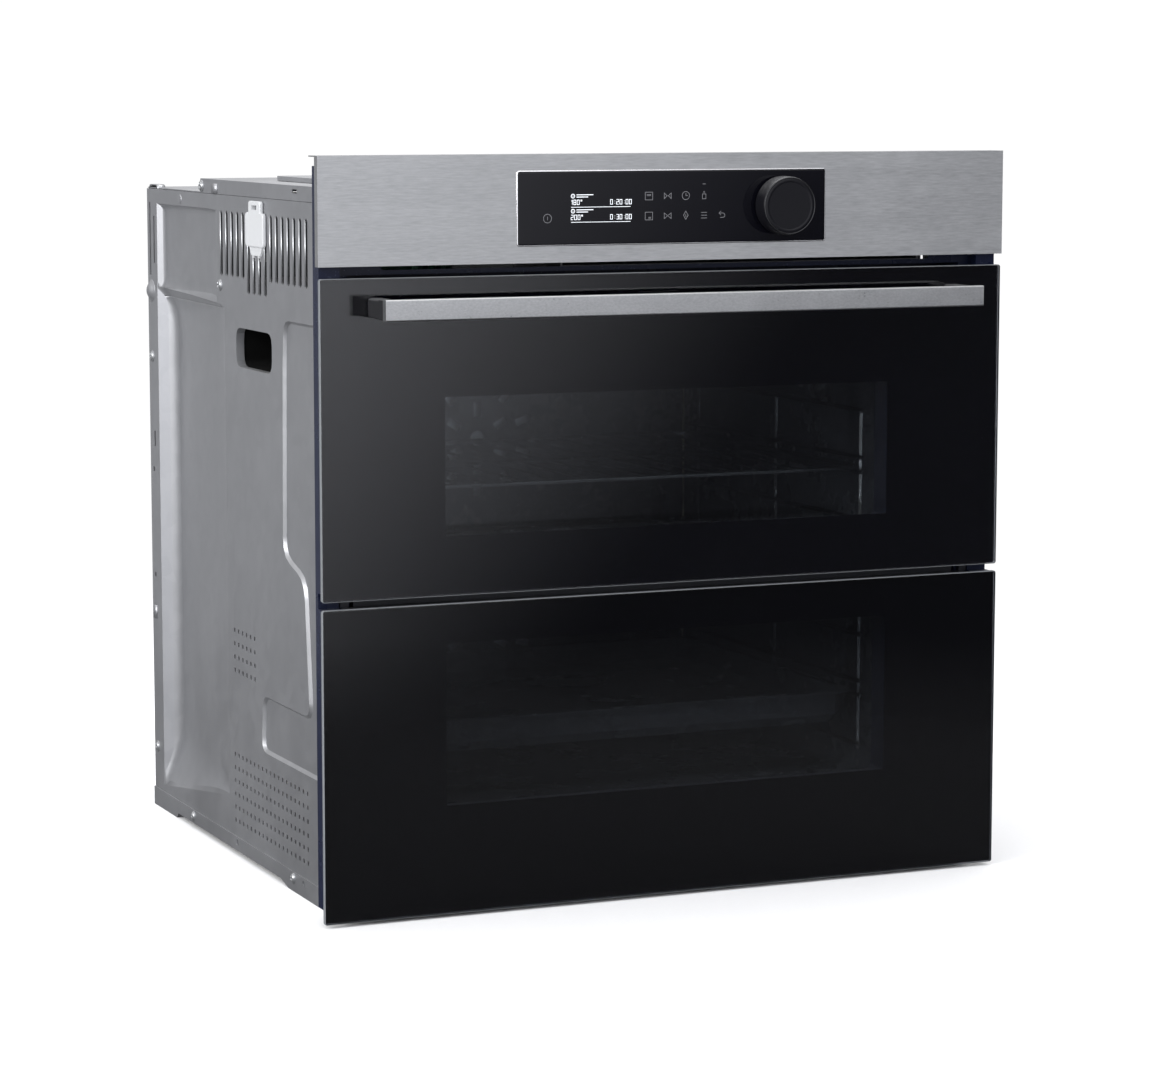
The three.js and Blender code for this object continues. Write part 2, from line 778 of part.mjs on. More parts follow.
// Outlines drawn square to an axis and extruded between two limits on it; bevel chamfers both ends.
function prism(shapes, axis, limits, bevel = 0, curveSegments = CURVE) {
  const depth = size(limits) - 2 * bevel;
  const bevels = { bevelEnabled: bevel > 0, bevelThickness: bevel, bevelSize: bevel, bevelOffset: -bevel, bevelSegments: 1 };
  const body = new THREE.ExtrudeGeometry(shapes, { depth, curveSegments, ...bevels });
  const turn = new THREE.Matrix4();
  if (axis === "x") turn.set(0, 0, 1, limits[0] + bevel, 1, 0, 0, 0, 0, 1, 0, 0, 0, 0, 0, 1);
  if (axis === "s") turn.set(1, 0, 0, 0, 0, 0, -1, limits[1] - bevel, 0, 1, 0, 0, 0, 0, 0, 1);
  if (axis === "z") turn.set(1, 0, 0, 0, 0, 1, 0, 0, 0, 0, 1, limits[0] + bevel, 0, 0, 0, 1);
  return solid(body.applyMatrix4(turn));
}
// Profile of radius and height turned about an axis through a point of the plane square to it.
function turned(profile, axis, [u, v], sides = 20) {
  const points = [...profile, profile[0]].map(([r, h]) => new THREE.Vector2(r, h));
  const body = new THREE.LatheGeometry(points, sides);
  if (axis === "x") body.rotateZ(-90 * DEG).translate(0, u, v);
  if (axis === "s") body.translate(u, 0, v);
  if (axis === "z") body.rotateX(90 * DEG).translate(u, v, 0);
  return solid(body);
}
const rod = (r, limits, axis, centre, sides = 12) =>
  turned(
    [
      [0, limits[0]],
      [r, limits[0]],
      [r, limits[1]],
      [0, limits[1]],
    ],
    axis,
    centre,
    sides,
  );
const pipe = ([inner, outer], limits, axis, centre, sides = 16) =>
  turned(
    [
      [inner, limits[0]],
      [outer, limits[0]],
      [outer, limits[1]],
      [inner, limits[1]],
    ],
    axis,
    centre,
    sides,
  );
// Straight wire between two points.
function wire(start, end, r, sides = 4) {
  const [a, b] = [new THREE.Vector3(...start), new THREE.Vector3(...end)];
  const run = b.clone().sub(a);
  const body = new THREE.CylinderGeometry(r, r, run.length(), sides);
  const turn = new THREE.Quaternion().setFromUnitVectors(new THREE.Vector3(0, 1, 0), run.normalize());
  const centre = a.add(b).multiplyScalar(0.5);
  return solid(body.applyQuaternion(turn).translate(...centre.toArray()));
}
// A path that steps from node to node, so straight runs cost one step.
class NodePath extends THREE.Curve {
  constructor(nodes) {
    super();
    this.nodes = nodes;
  }
  getPointAt(t, target = new THREE.Vector3()) {
    return target.copy(this.nodes[Math.round(t * (this.nodes.length - 1))]);
  }
  getTangentAt(t, target = new THREE.Vector3()) {
    const i = Math.round(t * (this.nodes.length - 1));
    const step = (a, b) => this.nodes[b].clone().sub(this.nodes[a]).normalize();
    const last = this.nodes.length - 1;
    if (i === 0) return target.copy(step(0, 1));
    if (i === last) return target.copy(step(last - 1, last));
    return target.copy(step(i - 1, i).add(step(i, i + 1)).normalize());
  }
}
// Round bar along rows of position and bend radius.
function bar(points, r, sides = 5) {
  const at = points.map(([x, s, z]) => new THREE.Vector3(x, s, z));
  const nodes = points.flatMap(([, , , bend = 0], i) => {
    if (bend === 0) return [at[i]];
    const [before, after] = [at[i - 1], at[i + 1]].map((end) => at[i].clone().add(end.clone().sub(at[i]).setLength(bend)));
    return new THREE.QuadraticBezierCurve3(before, at[i], after).getPoints(CURVE);
  });
  const section = ring(0, 0, r, sides);
  return solid(new THREE.ExtrudeGeometry(section, { extrudePath: new NodePath(nodes), steps: nodes.length - 1 }));
}

// Chassis
const punched = (field) => {
  const holes = [];
  for (let i = 0; i < field.columns; i++) {
    for (let j = 0; j < field.rows; j++) {
      holes.push(ring(field.first + i * field.pitchS, field.low + j * field.pitchZ, field.r, PUNCH_SIDES));
    }
  }
  return holes;
};
function sidePanel(fields) {
  const skin = -CHASSIS_X;
  const through = [skin - SIDE.block, skin + SIDE.block + EMBOSS.reach];
  const pressed = (shift) => {
    const pan = (table) =>
      hexa((deep, back, top) => [
        skin + shift + (deep ? table.depth[back] : -PROUD),
        deep ? table.footS[back] : table.rimS[back],
        deep ? table.footZ[top] : [table.rimFrontZ, table.rimRearZ][back][top],
      ]);
    const emboss = [skin + shift - EMBOSS.reach, skin + shift + EMBOSS.depth];
    return cut(
      block([skin + shift, skin + shift + SIDE.block], SIDE.s, SIDE.z),
      pan(WEDGE_PAN),
      pan(TOP_PAN),
      prism(outline(spot(EMBOSS.s, EMBOSS.z, EMBOSS.corner, EMBOSS.shares)), "x", emboss, EMBOSS.depth),
    );
  };
  const edge = [skin, skin + SIDE.flange];
  const hole = rounded(HAND_HOLE.s, HAND_HOLE.z, HAND_HOLE.corner);
  const [wallS, wallZ] = [HAND_HOLE.s, HAND_HOLE.z].map((v) => grow(v, HAND_HOLE.wall));
  const wall = prism(rounded(wallS, wallZ, HAND_HOLE.corner), "x", [skin, skin + HAND_HOLE.flange]);
  const sheet = join(
    cut(pressed(0), pressed(SIDE.gauge)),
    block(edge, SIDE.s, [CHASSIS_TOP - SIDE.gauge, CHASSIS_TOP]),
    block(edge, [SIDE.s[1] - SIDE.gauge, SIDE.s[1]], SIDE.z),
    block([skin, skin + SIDE.frontFlange], [SIDE.s[0], SIDE.s[0] + SIDE.gauge], SIDE.z),
    wall,
  );
  const slot = (s, z) => rounded(grow([s, s], VENTS.width / 2), z, VENTS.corner);
  const vents = Array.from({ length: VENTS.count }, (_, i) => {
    const long = LONG_VENTS.includes(i) && VENTS.longZ;
    const low = LOW_VENTS.includes(i) && VENTS.lowZ;
    return slot(VENTS.first - i * VENTS.pitch, long || low || VENTS.z);
  });
  const rear = REAR_SLOT_SHARES.map(([s, ...ends]) =>
    rounded(about(s * CHASSIS_BACK, REAR_SLOT_WIDTH / 2), part([0, CHASSIS_TOP], ends)),
  );
  const round = REAR_HOLE_SHARES.map(([s, z]) => ring(s * CHASSIS_BACK, z * CHASSIS_TOP, REAR_HOLE_R, PUNCH_SIDES));
  const holes = [...vents, ...rear, ...round, ...fields.flatMap(punched)];
  const short = [through[0], skin + HAND_HOLE.flange + EMBOSS.reach];
  const toeS = LOWER_PIVOT[0] + LOWER_PIVOT[1] - LOWER_GLASS_Z[0] + PLAY;
  const toeZ = LOWER_PIVOT[1] - LOWER_PIVOT[0] + GLASS_BACK + PLAY;
  const toe = block(grow(edge, PROUD), [-PROUD, toeS], [SIDE.z[0] - PROUD, toeZ]);
  return cut(sheet, prism(hole, "x", short), prism(holes, "x", short, 0, 1), toe);
}
function sideClip() {
  const { x, plate, tab, nose, slot, hollow, bevel } = CLIP;
  const { half, root, reach, z, hook, hookZ } = CLIP_LEG;
  const noseX = [CLIP_SEAT - nose.wall, CLIP_SEAT];
  const inward = [CLIP_SEAT - hollow.depth, CLIP_SEAT + bevel];
  const end = CLIP_SEAT + reach;
  const legs = LOW_VENTS.map((i) => about(VENTS.first - i * VENTS.pitch, half)).flatMap((s) => [
    block([CLIP_SEAT - root, end], s, z),
    block([end - hook, end], s, hookZ),
  ]);
  const body = join(
    prism(rounded(plate.s, plate.z, plate.corner), "x", x, bevel),
    prism(rounded(tab.s, tab.z, tab.corner), "x", x, bevel),
    hexa((out, back, top) => [noseX[out], (top ? nose.top : nose.foot)[back], nose.z[top]]),
    legs,
  );
  return cut(body, block(inward, hollow.s, hollow.z), block(grow(x, bevel), slot.s, slot.z));
}
const row = ({ count, first, pitch }) => Array.from({ length: count }, (_, i) => first + i * pitch);
function basePlate() {
  const { s, raised, gauge, x, rail } = BASE;
  const under = [[s[0], 0], [BASE.frontFoot, 0], [BASE.frontRise, raised], [BASE.rearRise, raised], [BASE.rearFoot, 0], [s[1], 0]];
  const floor = outline([...under, ...under.map(([u, v]) => [u, v + gauge]).reverse()]);
  const side = outline([...under, [s[1], BASE.railTop], [s[0], BASE.railTop]]);
  const rails = SIDES.map((k) => {
    const plate = prism(side, "x", onSide(k, [x - rail, x]));
    const holes = RAIL_HOLE_SHARES.map(([a, b, low, high]) => {
      const z = part([0, BASE.railTop], [low, high]);
      return rounded(part(s, [a, b]), z, size(z) / 3);
    });
    return cut(plate, prism(holes, "x", onSide(k, grow([x, x], BASE.lip))));
  });
  const ends = [[s[0], s[0] + gauge], [s[1] - gauge, s[1]]].map((end) => block([-x, x], end, [0, BASE.lip]));
  const tray = join(prism(floor, "x", [-x, x]), rails, ends);
  const slots = row(BASE_SLOTS).map((at) => rounded(grow([at, at], BASE_SLOTS.width / 2), BASE_SLOTS.s));
  return cut(tray, prism(slots, "z", [-BASE.lip, BASE.lip]));
}
function backCover() {
  const { bulge, vents, hidden, gauge } = BACK;
  const pressed = (shift) => {
    const face = CHASSIS_BACK + GAP + shift;
    const hump = rounded(grow([-bulge.x, bulge.x], shift), grow(bulge.z, shift), bulge.corner);
    return join(
      block([-BACK.x, BACK.x], [face - hidden, face], BACK.z),
      prism(hump, "s", [face - hidden, face + bulge.depth - gauge], bulge.wall),
    );
  };
  const slot = (x, z) => rounded(grow([x, x], vents.width / 2), z);
  const slots = row(vents).flatMap((x) => [slot(x, vents.upper), slot(x, vents.lower)]);
  const holes = [...slots, rounded(BACK_INLET.x, BACK_INLET.z, BACK_INLET.corner)];
  const through = [CHASSIS_BACK, CHASSIS_BACK + bulge.depth + hidden];
  return cut(pressed(gauge), pressed(0), prism(holes, "s", through, 0, 2));
}
function topPlate() {
  const { x, s, gauge, vents } = TOP_PLATE;
  const z = [CHASSIS_TOP + GAP, CHASSIS_TOP + GAP + gauge];
  const slots = row(vents).map((at) => rounded(grow([at, at], vents.width / 2), vents.s));
  return cut(block([-x, x], s, z), prism(slots, "z", grow(z, gauge), 0, 2));
}
// Tray turned upside down: a rounded box whose underside is open.
function lid(x, s, z, corner, gauge) {
  const inner = [z[0] - gauge, z[1] - gauge];
  const [insideX, insideS] = [x, s].map((limits) => grow(limits, -gauge));
  return cut(prism(rounded(x, s, corner), "z", z), prism(rounded(insideX, insideS, corner), "z", inner));
}
function controlBoxCover() {
  const { x, s, gauge, rise, slot, vents } = COVER;
  const z = [CHASSIS_TOP + GAP, CHASSIS_TOP + rise];
  const slots = row(vents).map((at) => rounded(grow([at, at], vents.width / 2), vents.s));
  const side = block([-x - gauge, gauge - x + gauge], slot.s, part([CHASSIS_TOP, z[1]], slot.shares));
  return cut(lid([-x, x], s, z, gauge, gauge), prism(slots, "z", grow(z, gauge), 0, 2), side);
}
function airDuct() {
  const { x, s, z, corner, gauge, mouth } = DUCT;
  const front = block([-mouth, mouth], grow([s[0], s[0]], gauge * 2), [z[0] - gauge, z[1] - gauge]);
  return cut(lid([-x, x], s, z, corner, gauge), front);
}
function partitionPlate() {
  const { z, wide, narrow, lip, inlet, grommet } = PARTITION;
  const holes = [
    ring(...BLOWER_CENTRE, BLOWER_INLET + inlet.room, 32),
    ring(grommet.x, grommet.s, grommet.r, 16),
  ];
  const flat = join(block([-wide.x, wide.x], wide.s, z), block([-narrow.x, narrow.x], narrow.s, z));
  const lips = SIDES.map((k) => block(onSide(k, lip.x), lip.s, [z[0], z[1] + lip.rise]));
  return cut(join(flat, lips), prism(holes, "z", grow(z, size(z))));
}

// Front frame
function frontFrame() {
  const { gauge: g, rimX, rimS, rimZ, lip, recessX, recessS, recessZ } = FRAME;
  const face = [rimS[0], rimS[0] + g];
  const step = [-g, 0];
  const rims = SIDES.flatMap((k) => [
    block(onSide(k, rimX), face, rimZ),
    block(onSide(k, [rimX[0], rimX[0] + g]), rimS, rimZ),
    block(onSide(k, [rimX[1] - g, rimX[1]]), rimS, rimZ),
    block(onSide(k, [rimX[1] - lip, rimX[1]]), step, rimZ),
    block(onSide(k, [recessX, rimX[0] + g]), step, rimZ),
    block(onSide(k, [recessX, recessX + g]), [-g, recessS], recessZ),
  ]);
  const wide = [-recessX - g, recessX + g];
  const across = [-rimX[1], rimX[1]];
  const plates = [
    block(across, rimS, [rimZ[1] - g, rimZ[1]]),
    block(wide, step, [recessZ[1] - g, rimZ[1]]),
    block(wide, [-g, recessS], [recessZ[1] - g, recessZ[1]]),
    block(wide, [-g, recessS], [recessZ[0], recessZ[0] + g]),
    block(wide, [recessS, recessS + g], recessZ),
  ];
  const mouth = rounded([-CAVITY.x, CAVITY.x], CAVITY.z, FRAME.mouthCorner);
  const floorHoles = SIDES.map((k) => rounded(onSide(k, FRAME.hingeSlot.x), FRAME.hingeSlot.z));
  const dipS = UPPER_PIVOT[0] + UPPER_PIVOT[1] - UPPER_GLASS_Z[0] + PLAY;
  const dipZ = [UPPER_PIVOT[1] - UPPER_SWING - PLAY, UPPER_PIVOT[1] + PLAY];
  const pans = SIDES.map((k) => block(onSide(k, rimX), [rimS[0], dipS + g], grow(dipZ, g)));
  const dips = SIDES.map((k) => block(onSide(k, grow(rimX, g)), [rimS[0] - g, dipS], dipZ));
  const { control } = FRAME;
  const wallHoles = [
    rounded([-OUTLET.x, OUTLET.x], OUTLET.z, OUTLET.corner),
    rounded([-control.x, control.x], control.z, control.corner),
  ];
  return cut(
    join(...rims, ...plates, ...pans),
    ...dips,
    prism([mouth, ...floorHoles], "s", grow([recessS, recessS + g], g)),
    prism(wallHoles, "s", [-g - g, g]),
  );
}

// Cavity and insulation
const fanAxes = Object.values(FAN_AXES);
const legsOf = (z) => SIDES.map((k) => [k * RING_HEATER.spread, z + RING_HEATER.r]);
const pathOf = ({ x, s, shares }) => point(x, s, shares);
const grillLegs = [pathOf(GRILL).at(0), pathOf(GRILL).at(-1)].map(([x]) => [x, GRILL.z]);
function cavityLiner() {
  const { x, s, z, gauge, corner, flange } = CAVITY;
  const outer = rounded(grow([-x, x], gauge), grow(z, gauge), corner + gauge);
  const inner = rounded([-x, x], z, corner);
  const rim = rounded(grow([-x, x], flange), grow(z, flange), corner);
  const back = [...fanAxes.map((at) => ring(0, at, SHAFT_HOLE, 12))];
  const legs = [...fanAxes.flatMap(legsOf), ...grillLegs].map(([u, v]) => ring(u, v, LEG_HOLE, 6));
  return cut(
    join(prism(outer, "s", [s[0], s[1] + gauge]), prism(rim, "s", [s[0], s[0] + gauge])),
    prism(inner, "s", [s[0] - gauge, s[1]]),
    prism([...back, ...legs], "s", grow([s[1], s[1] + gauge], gauge)),
    prism(ring(LAMP.s, LAMP.z, LAMP.hole, 16), "x", grow([x, x + gauge], gauge)),
  );
}
function insulation() {
  const { x, s, z, corner } = BLANKET;
  const clear = CAVITY.gauge + GAP;
  const hollow = rounded(grow([-CAVITY.x, CAVITY.x], clear), grow(CAVITY.z, clear), CAVITY.corner + clear);
  const motors = fanAxes.map((at) => ring(0, at, BLANKET_HOLES.motor, 14));
  const legs = [...fanAxes.flatMap(legsOf), ...grillLegs].map(([u, v]) => ring(u, v, BLANKET_HOLES.leg, 5));
  const rear = [CAVITY.s[1], s[1] + clear];
  return cut(
    prism(rounded([-x, x], z, corner), "s", s),
    prism(hollow, "s", [s[0] - clear, CAVITY.s[1] + clear]),
    block([-BLANKET_POCKET.x, BLANKET_POCKET.x], BLANKET_POCKET.s, BLANKET_POCKET.z),
    [...motors, ...legs].map((hole) => prism(hole, "s", rear)),
    prism(rounded(BLANKET_HOLES.bottom.x, BLANKET_HOLES.bottom.z), "s", [BLANKET_POCKET.s[0], s[1] + clear]),
    prism(ring(LAMP.s, LAMP.z, BLANKET_HOLES.lamp, 16), "x", [CAVITY.x, x + clear]),
  );
}
function slotsRound(u, v, radius, count, length, width) {
  return Array.from({ length: count }, (_, i) => {
    const turn = ((i + 0.5) * 2 * Math.PI) / count;
    const [c, q] = [Math.cos(turn), Math.sin(turn)];
    const at = (out, side) => [u + (radius + out) * c - side * q, v + (radius + out) * q + side * c];
    const [a, b] = [length / 2, width / 2];
    return outline([at(-a, -b), at(a, -b), at(a, b), at(-a, b)]);
  });
}
function fanCover() {
  const { x, s, z, gauge, corner } = FAN_WALL;
  const [outer, inner] = [0, gauge].map((by) => rounded(grow([-x, x], -by), grow(z, -by), corner));
  const intakes = fanAxes.flatMap((at) => [
    ring(0, at, INTAKE.width, 10),
    ...INTAKE.rings.flatMap((r, i) => slotsRound(0, at, r, INTAKE.counts[i], INTAKE.length, INTAKE.width)),
  ]);
  const step = size(OUTFLOW.z) / OUTFLOW.count;
  const outlets = SIDES.flatMap((k) =>
    Array.from({ length: OUTFLOW.count }, (_, i) => {
      return rounded(onSide(k, OUTFLOW.x), from(OUTFLOW.z[0] + i * step, OUTFLOW.height), OUTFLOW.corner);
    }),
  );
  return cut(
    prism(outer, "s", s),
    prism(inner, "s", [s[0] + gauge, s[1] + gauge]),
    prism([...intakes, ...outlets], "s", grow([s[0], s[0] + gauge], gauge), 0, 1),
  );
}
function motor(table, axis, centre) {
  const { bore, r, run, shares, core } = table;
  const body = turned([[bore, run[0]], ...point([0, r], run, shares), [bore, run[1]]], axis, centre, 10);
  const [u, v] = centre.map((at) => about(at, core.half));
  const deep = part(run, core.shares);
  const stack = axis === "z" ? block(u, v, deep) : block(u, deep, v);
  return cut(join(body, stack), rod(bore, run, axis, centre, 8));
}
// Wheel of slanted blades between two radii about an axis.
function blades(table, count, axis, centre, limits) {
  const { radii, half, skewShare, bowShare } = table;
  return Array.from({ length: count }, (_, i) => {
    const turn = (i * 2 * Math.PI) / count;
    const at = (r, side, skew) => {
      const angle = turn + skew * skewShare;
      return [centre[0] + r * Math.cos(angle) - side * Math.sin(turn), centre[1] + r * Math.sin(angle) + side * Math.cos(turn)];
    };
    const middle = (radii[0] + radii[1]) / 2;
    const front = [at(radii[0], -half, 1), at(middle, -half, bowShare), at(radii[1], -half, 0)];
    const back = [at(radii[1], half, 0), at(middle, half, bowShare), at(radii[0], half, 1)];
    return prism(outline([...front, ...back]), axis, limits);
  });
}
function convectionFan(z) {
  const { plate, blade, hub, shaft } = CONVECTION_FAN;
  const centre = [0, z];
  return join(
    rod(plate.r, plate.s, "s", centre, 18),
    rod(hub.r, hub.s, "s", centre, 8),
    rod(shaft.r, shaft.s, "s", centre, 8),
    blades(blade, CONVECTION_FAN.blades, "s", centre, blade.s),
  );
}
function ringHeater(z) {
  const { r, tube, s, leg, spread, bend, steps, plate } = RING_HEATER;
  const open = Math.asin(spread / r);
  const arc = Array.from({ length: steps + 1 }, (_, i) => {
    const turn = open + (i / steps) * 2 * (Math.PI - open);
    return [r * Math.sin(turn), s, z + r * Math.cos(turn)];
  });
  const up = (k) => [
    [k * spread, leg, z + r],
    [k * spread, s, z + r, bend],
  ];
  const path = [...up(1), ...arc.slice(2, -2), ...up(-1).reverse()];
  const flange = block([-plate.x, plate.x], plate.s, grow([z + r, z + r], plate.z));
  return join(bar(path, tube), flange);
}
function heatingElement(table) {
  const { z, tube, bend, strap, roof } = table;
  const path = pathOf(table);
  const last = path.length - 1;
  const rows = path.map(([x, s], i) => [x, s, z, i === 0 || i === last ? 0 : bend]);
  const s = about(strap.s, strap.half);
  const under = z - strap.under;
  const bands = [
    block(grow(table.x, strap.beyond), s, from(under, strap.gauge)),
    ...SIDES.map((k) => block(about(k * strap.hanger, strap.hangerHalf), s, [under, roof])),
  ];
  return join(bar(rows, tube), bands);
}
const lampPart = (x, shares, sides) => turned(point([0, LAMP.r], x, shares), "x", [LAMP.s, LAMP.z], sides);
const lampGlass = () => lampPart(LAMP.bezelX, LAMP.bezelShares, 14);
const lampHolder = () => lampPart(LAMP.holderX, LAMP.holderShares, 12);
function doorGasket() {
  const { x, z, s, r, corner, bead } = GASKET;
  const across = [-x, x];
  const [outer, inner] = [r, -r].map((by) => rounded(grow(across, by), grow(z, by), corner + by));
  return cut(prism(outer, "s", [s - r, s + r], bead), prism(inner, "s", grow([s - r, s + r], r)));
}

// Racks, divider and tray
function sideRack() {
  const { railX, postX, wire: r, s, posts, z, levelShares, studs, studX } = SIDE_RACK;
  const levels = levelShares.map((share) => along(z, share));
  const rails = levels.map((at) => wire([railX, s[0], at], [railX, s[1], at], r));
  const uprights = posts.map((at) => wire([postX, at, z[0]], [postX, at, z[1]], r));
  const pins = [posts[0], posts.at(-1)].flatMap((at) => studs.map((up) => wire([postX, at, up], [studX, at, up], r * 1.5)));
  return join(...rails, uprights, pins);
}
function wireRack() {
  const { x, s, frame, wire: r, corner, count, supportShare } = WIRE_RACK;
  const z = along(SIDE_RACK.z, SIDE_RACK.levelShares[RACK_LEVEL]) + SIDE_RACK.wire + frame;
  const half = (k) => [
    [0, s[0], z, 0],
    [k * x, s[0], z, corner],
    [k * x, s[1], z, corner],
    [0, s[1], z, 0],
  ];
  const edge = SIDES.map((k) => bar(half(k), frame));
  const pitch = (2 * x) / (count + 1);
  const rods = Array.from({ length: count }, (_, i) => {
    const at = (i + 1) * pitch - x;
    return wire([at, s[0], z], [at, s[1], z], r);
  });
  const at = along(s, supportShare);
  return join(...edge, rods, wire([frame - x, at, z - r], [x - frame, at, z - r], frame));
}
function dividerPlate() {
  const { x, s, z, gauge, front, corner, ribShares, rib } = DIVIDER;
  const under = [z[0] - gauge, z[1] - gauge];
  const inner = rounded(grow([-x, x], -gauge), [s[0] + front, s[1] - gauge], corner);
  const shell = cut(prism(rounded([-x, x], s, corner), "z", z), prism(inner, "z", under));
  return join(shell, ribShares.map((share) => block(grow([-x, x], -gauge), about(along(s, share), rib), z)));
}
function bakingTray() {
  const { x, s, gauge, corner, rim, lip, sink, depth, taper } = TRAY;
  const rest = restsOn(TRAY_LEVEL);
  const z = [rest - depth, rest + sink];
  const wall = (by, limits) => {
    const outlineOf = rounded(grow([-x, x], by), grow(s, by), corner);
    return prism(outlineOf, "z", limits, 0, 3);
  };
  const basin = cut(
    prism(rounded([-x, x], s, corner), "z", [z[0], z[1] + size(z)], taper, 3),
    block(grow([-x, x], rim), grow(s, rim), [z[1], z[1] + 2 * size(z)]),
  );
  const hollow = prism(rounded(grow([-x, x], -gauge), grow(s, -gauge), corner), "z", [z[0] + gauge, z[1] + 2 * size(z)], taper, 3);
  return cut(join(basin, wall(rim, from(rest, lip))), hollow);
}

// Cooling and supply
function blowerHousing() {
  const { centre, z, wall, scroll, inlet, shaft, nozzleS, nozzleShares, nozzleZ, mouth } = BLOWER;
  const nozzle = point(mouth.x, nozzleS, nozzleShares);
  const spiral = (by) =>
    outline(
      Array.from({ length: scroll.steps }, (_, i) => {
        const turn = (i / scroll.steps) * 2 * Math.PI;
        const r = scroll.start + (scroll.grow * i) / scroll.steps + by;
        return [centre[0] + r * Math.cos(turn), centre[1] + r * Math.sin(turn)];
      }),
    );
  const channel = (by) => outline(nozzle.map(([x, s], i) => [x + (i === 0 || i === 3 ? -by : by), s]));
  const outer = join(
    prism(spiral(0), "z", z),
    prism(channel(0), "z", nozzleZ),
    block(mouth.x, mouth.s, nozzleZ),
  );
  const inside = join(
    prism(spiral(-wall), "z", grow(z, -wall)),
    prism(channel(-wall), "z", grow(nozzleZ, -wall)),
    block(grow(mouth.x, -wall), [mouth.s[0] - wall, mouth.s[1]], grow(nozzleZ, -wall)),
  );
  const eye = rod(inlet, [z[0] - wall, z[0] + wall * 2], "z", centre, 16);
  const top = rod(shaft, [z[1] - wall * 2, z[1] + wall], "z", centre, 16);
  return cut(outer, inside, eye, top);
}
function blowerWheel() {
  const { centre } = BLOWER;
  const { disc, ring: hoop, blade, hub, shaft } = BLOWER_WHEEL;
  return join(
    rod(disc.r, disc.z, "z", centre, 16),
    pipe(hoop.r, hoop.z, "z", centre, 16),
    rod(hub.r, hub.z, "z", centre, 8),
    rod(shaft.r, shaft.z, "z", centre, 8),
    blades(blade, BLOWER_WHEEL.blades, "z", centre, blade.z),
  );
}
function powerBoard() {
  const { x, s, z, feet, tall, partShares, drumShares, drumTallShare } = POWER_BOARD;
  const [fx, fs] = [x, s].map((limits) => grow(limits, -feet.inset));
  const legs = fx.flatMap((u) => fs.map((v) => rod(feet.r, [CONTROL_FLOOR, mid(z)], "z", [u, v], 6)));
  const above = (share) => [mid(z), z[1] + tall * share];
  const boxes = partShares.map(([a, b, c, d, share]) => block(part(x, [a, b]), part(s, [c, d]), above(share)));
  const cans = drumShares.map(([u, v, r]) => rod(r * tall, above(drumTallShare), "z", [along(x, u), along(s, v)], 10));
  return join(block(x, s, z), legs, boxes, cans);
}
function terminalBlock() {
  const { x, s, z, chimneyShares, chimney, gland } = TERMINAL;
  const centre = [mid(x), gland.z];
  const chimneys = chimneyShares.map((share) => along(x, share));
  const towers = chimneys.map((at) => block(about(at, chimney.half), chimney.s, chimney.z));
  const body = join(block(x, s, z), towers, rod(gland.r, gland.s, "s", centre, 12));
  const wires = chimneys.map((at) => rod(gland.core, [chimney.z[0], chimney.z[1] + chimney.half], "z", [at, mid(chimney.s)], 6));
  return cut(body, wires, rod(gland.bore, grow(gland.s, gland.core), "s", centre, 12));
}

// Control panel
function controlPanel() {
  const { gauge, topReturn, bottomReturn, sideReturn, bottomX, corner, foot } = FASCIA;
  const x = [-PANEL_X, PANEL_X];
  const face = prism(rounded(x, PANEL_Z, corner), "s", [FRONT_S, FRONT_S + gauge]);
  const returns = [
    block(x, topReturn, [PANEL_Z[1] - gauge, PANEL_Z[1]]),
    block([-bottomX, bottomX], bottomReturn, [PANEL_Z[0], PANEL_Z[0] + gauge]),
    ...SIDES.map((k) => block(onSide(k, [PANEL_X - gauge, PANEL_X]), sideReturn, PANEL_Z)),
    ...SIDES.flatMap((k) => foot.rows.map((z) => block(onSide(k, foot.x), foot.s, z))),
  ];
  const opening = rounded(grow(INSERT.x, GAP), grow(INSERT.z, GAP), INSERT.corner);
  return cut(join(face, returns), prism(opening, "s", grow([FRONT_S, FRONT_S + gauge], gauge)));
}
function controlGlass() {
  const { x, z, s, corner, bevel, knobHole, flange, flangeS } = INSERT;
  const pane = prism(rounded(x, z, corner), "s", s, bevel);
  const tray = block(grow(x, flange), flangeS, grow(z, flange));
  return cut(join(pane, tray), rod(knobHole, grow(s, bevel), "s", KNOB_AXIS, 20));
}
function displayModule() {
  const { x, z, s, bezel, screen } = DISPLAY;
  const well = block(screen.x, about(s[0], bezel), screen.z);
  return cut(block(x, s, z), well);
}
function controlBoard() {
  const { x, z, s, touch, ear, deep, chipShares } = CONTROL_BOARD;
  const pads = [touch, ear].map((p) => block(p.x, p.s, p.z));
  const chips = chipShares.map(([a, b, low, high, share]) =>
    block(part(x, [a, b]), [mid(s), s[1] + deep * share], part(z, [low, high])),
  );
  return join(block(x, s, z), pads, chips);
}
function knobEncoder() {
  const { half, s, bush, boreS } = ENCODER;
  const [x, z] = KNOB_AXIS.map((at) => about(at, half));
  const body = join(block(x, s, z), rod(bush.r, bush.s, "s", KNOB_AXIS, 16));
  return cut(body, rod(SHAFT_BORE, boreS, "s", KNOB_AXIS, 16));
}
const encoderShaft = () => rod(SHAFT.r, SHAFT.s, "s", KNOB_AXIS, 16);
function knob() {
  const { r, s, floor, shares } = KNOB;
  const skin = point([0, r], s, shares);
  return turned([...skin, [0, floor], [SHAFT_BORE, floor]], "s", KNOB_AXIS, 30);
}

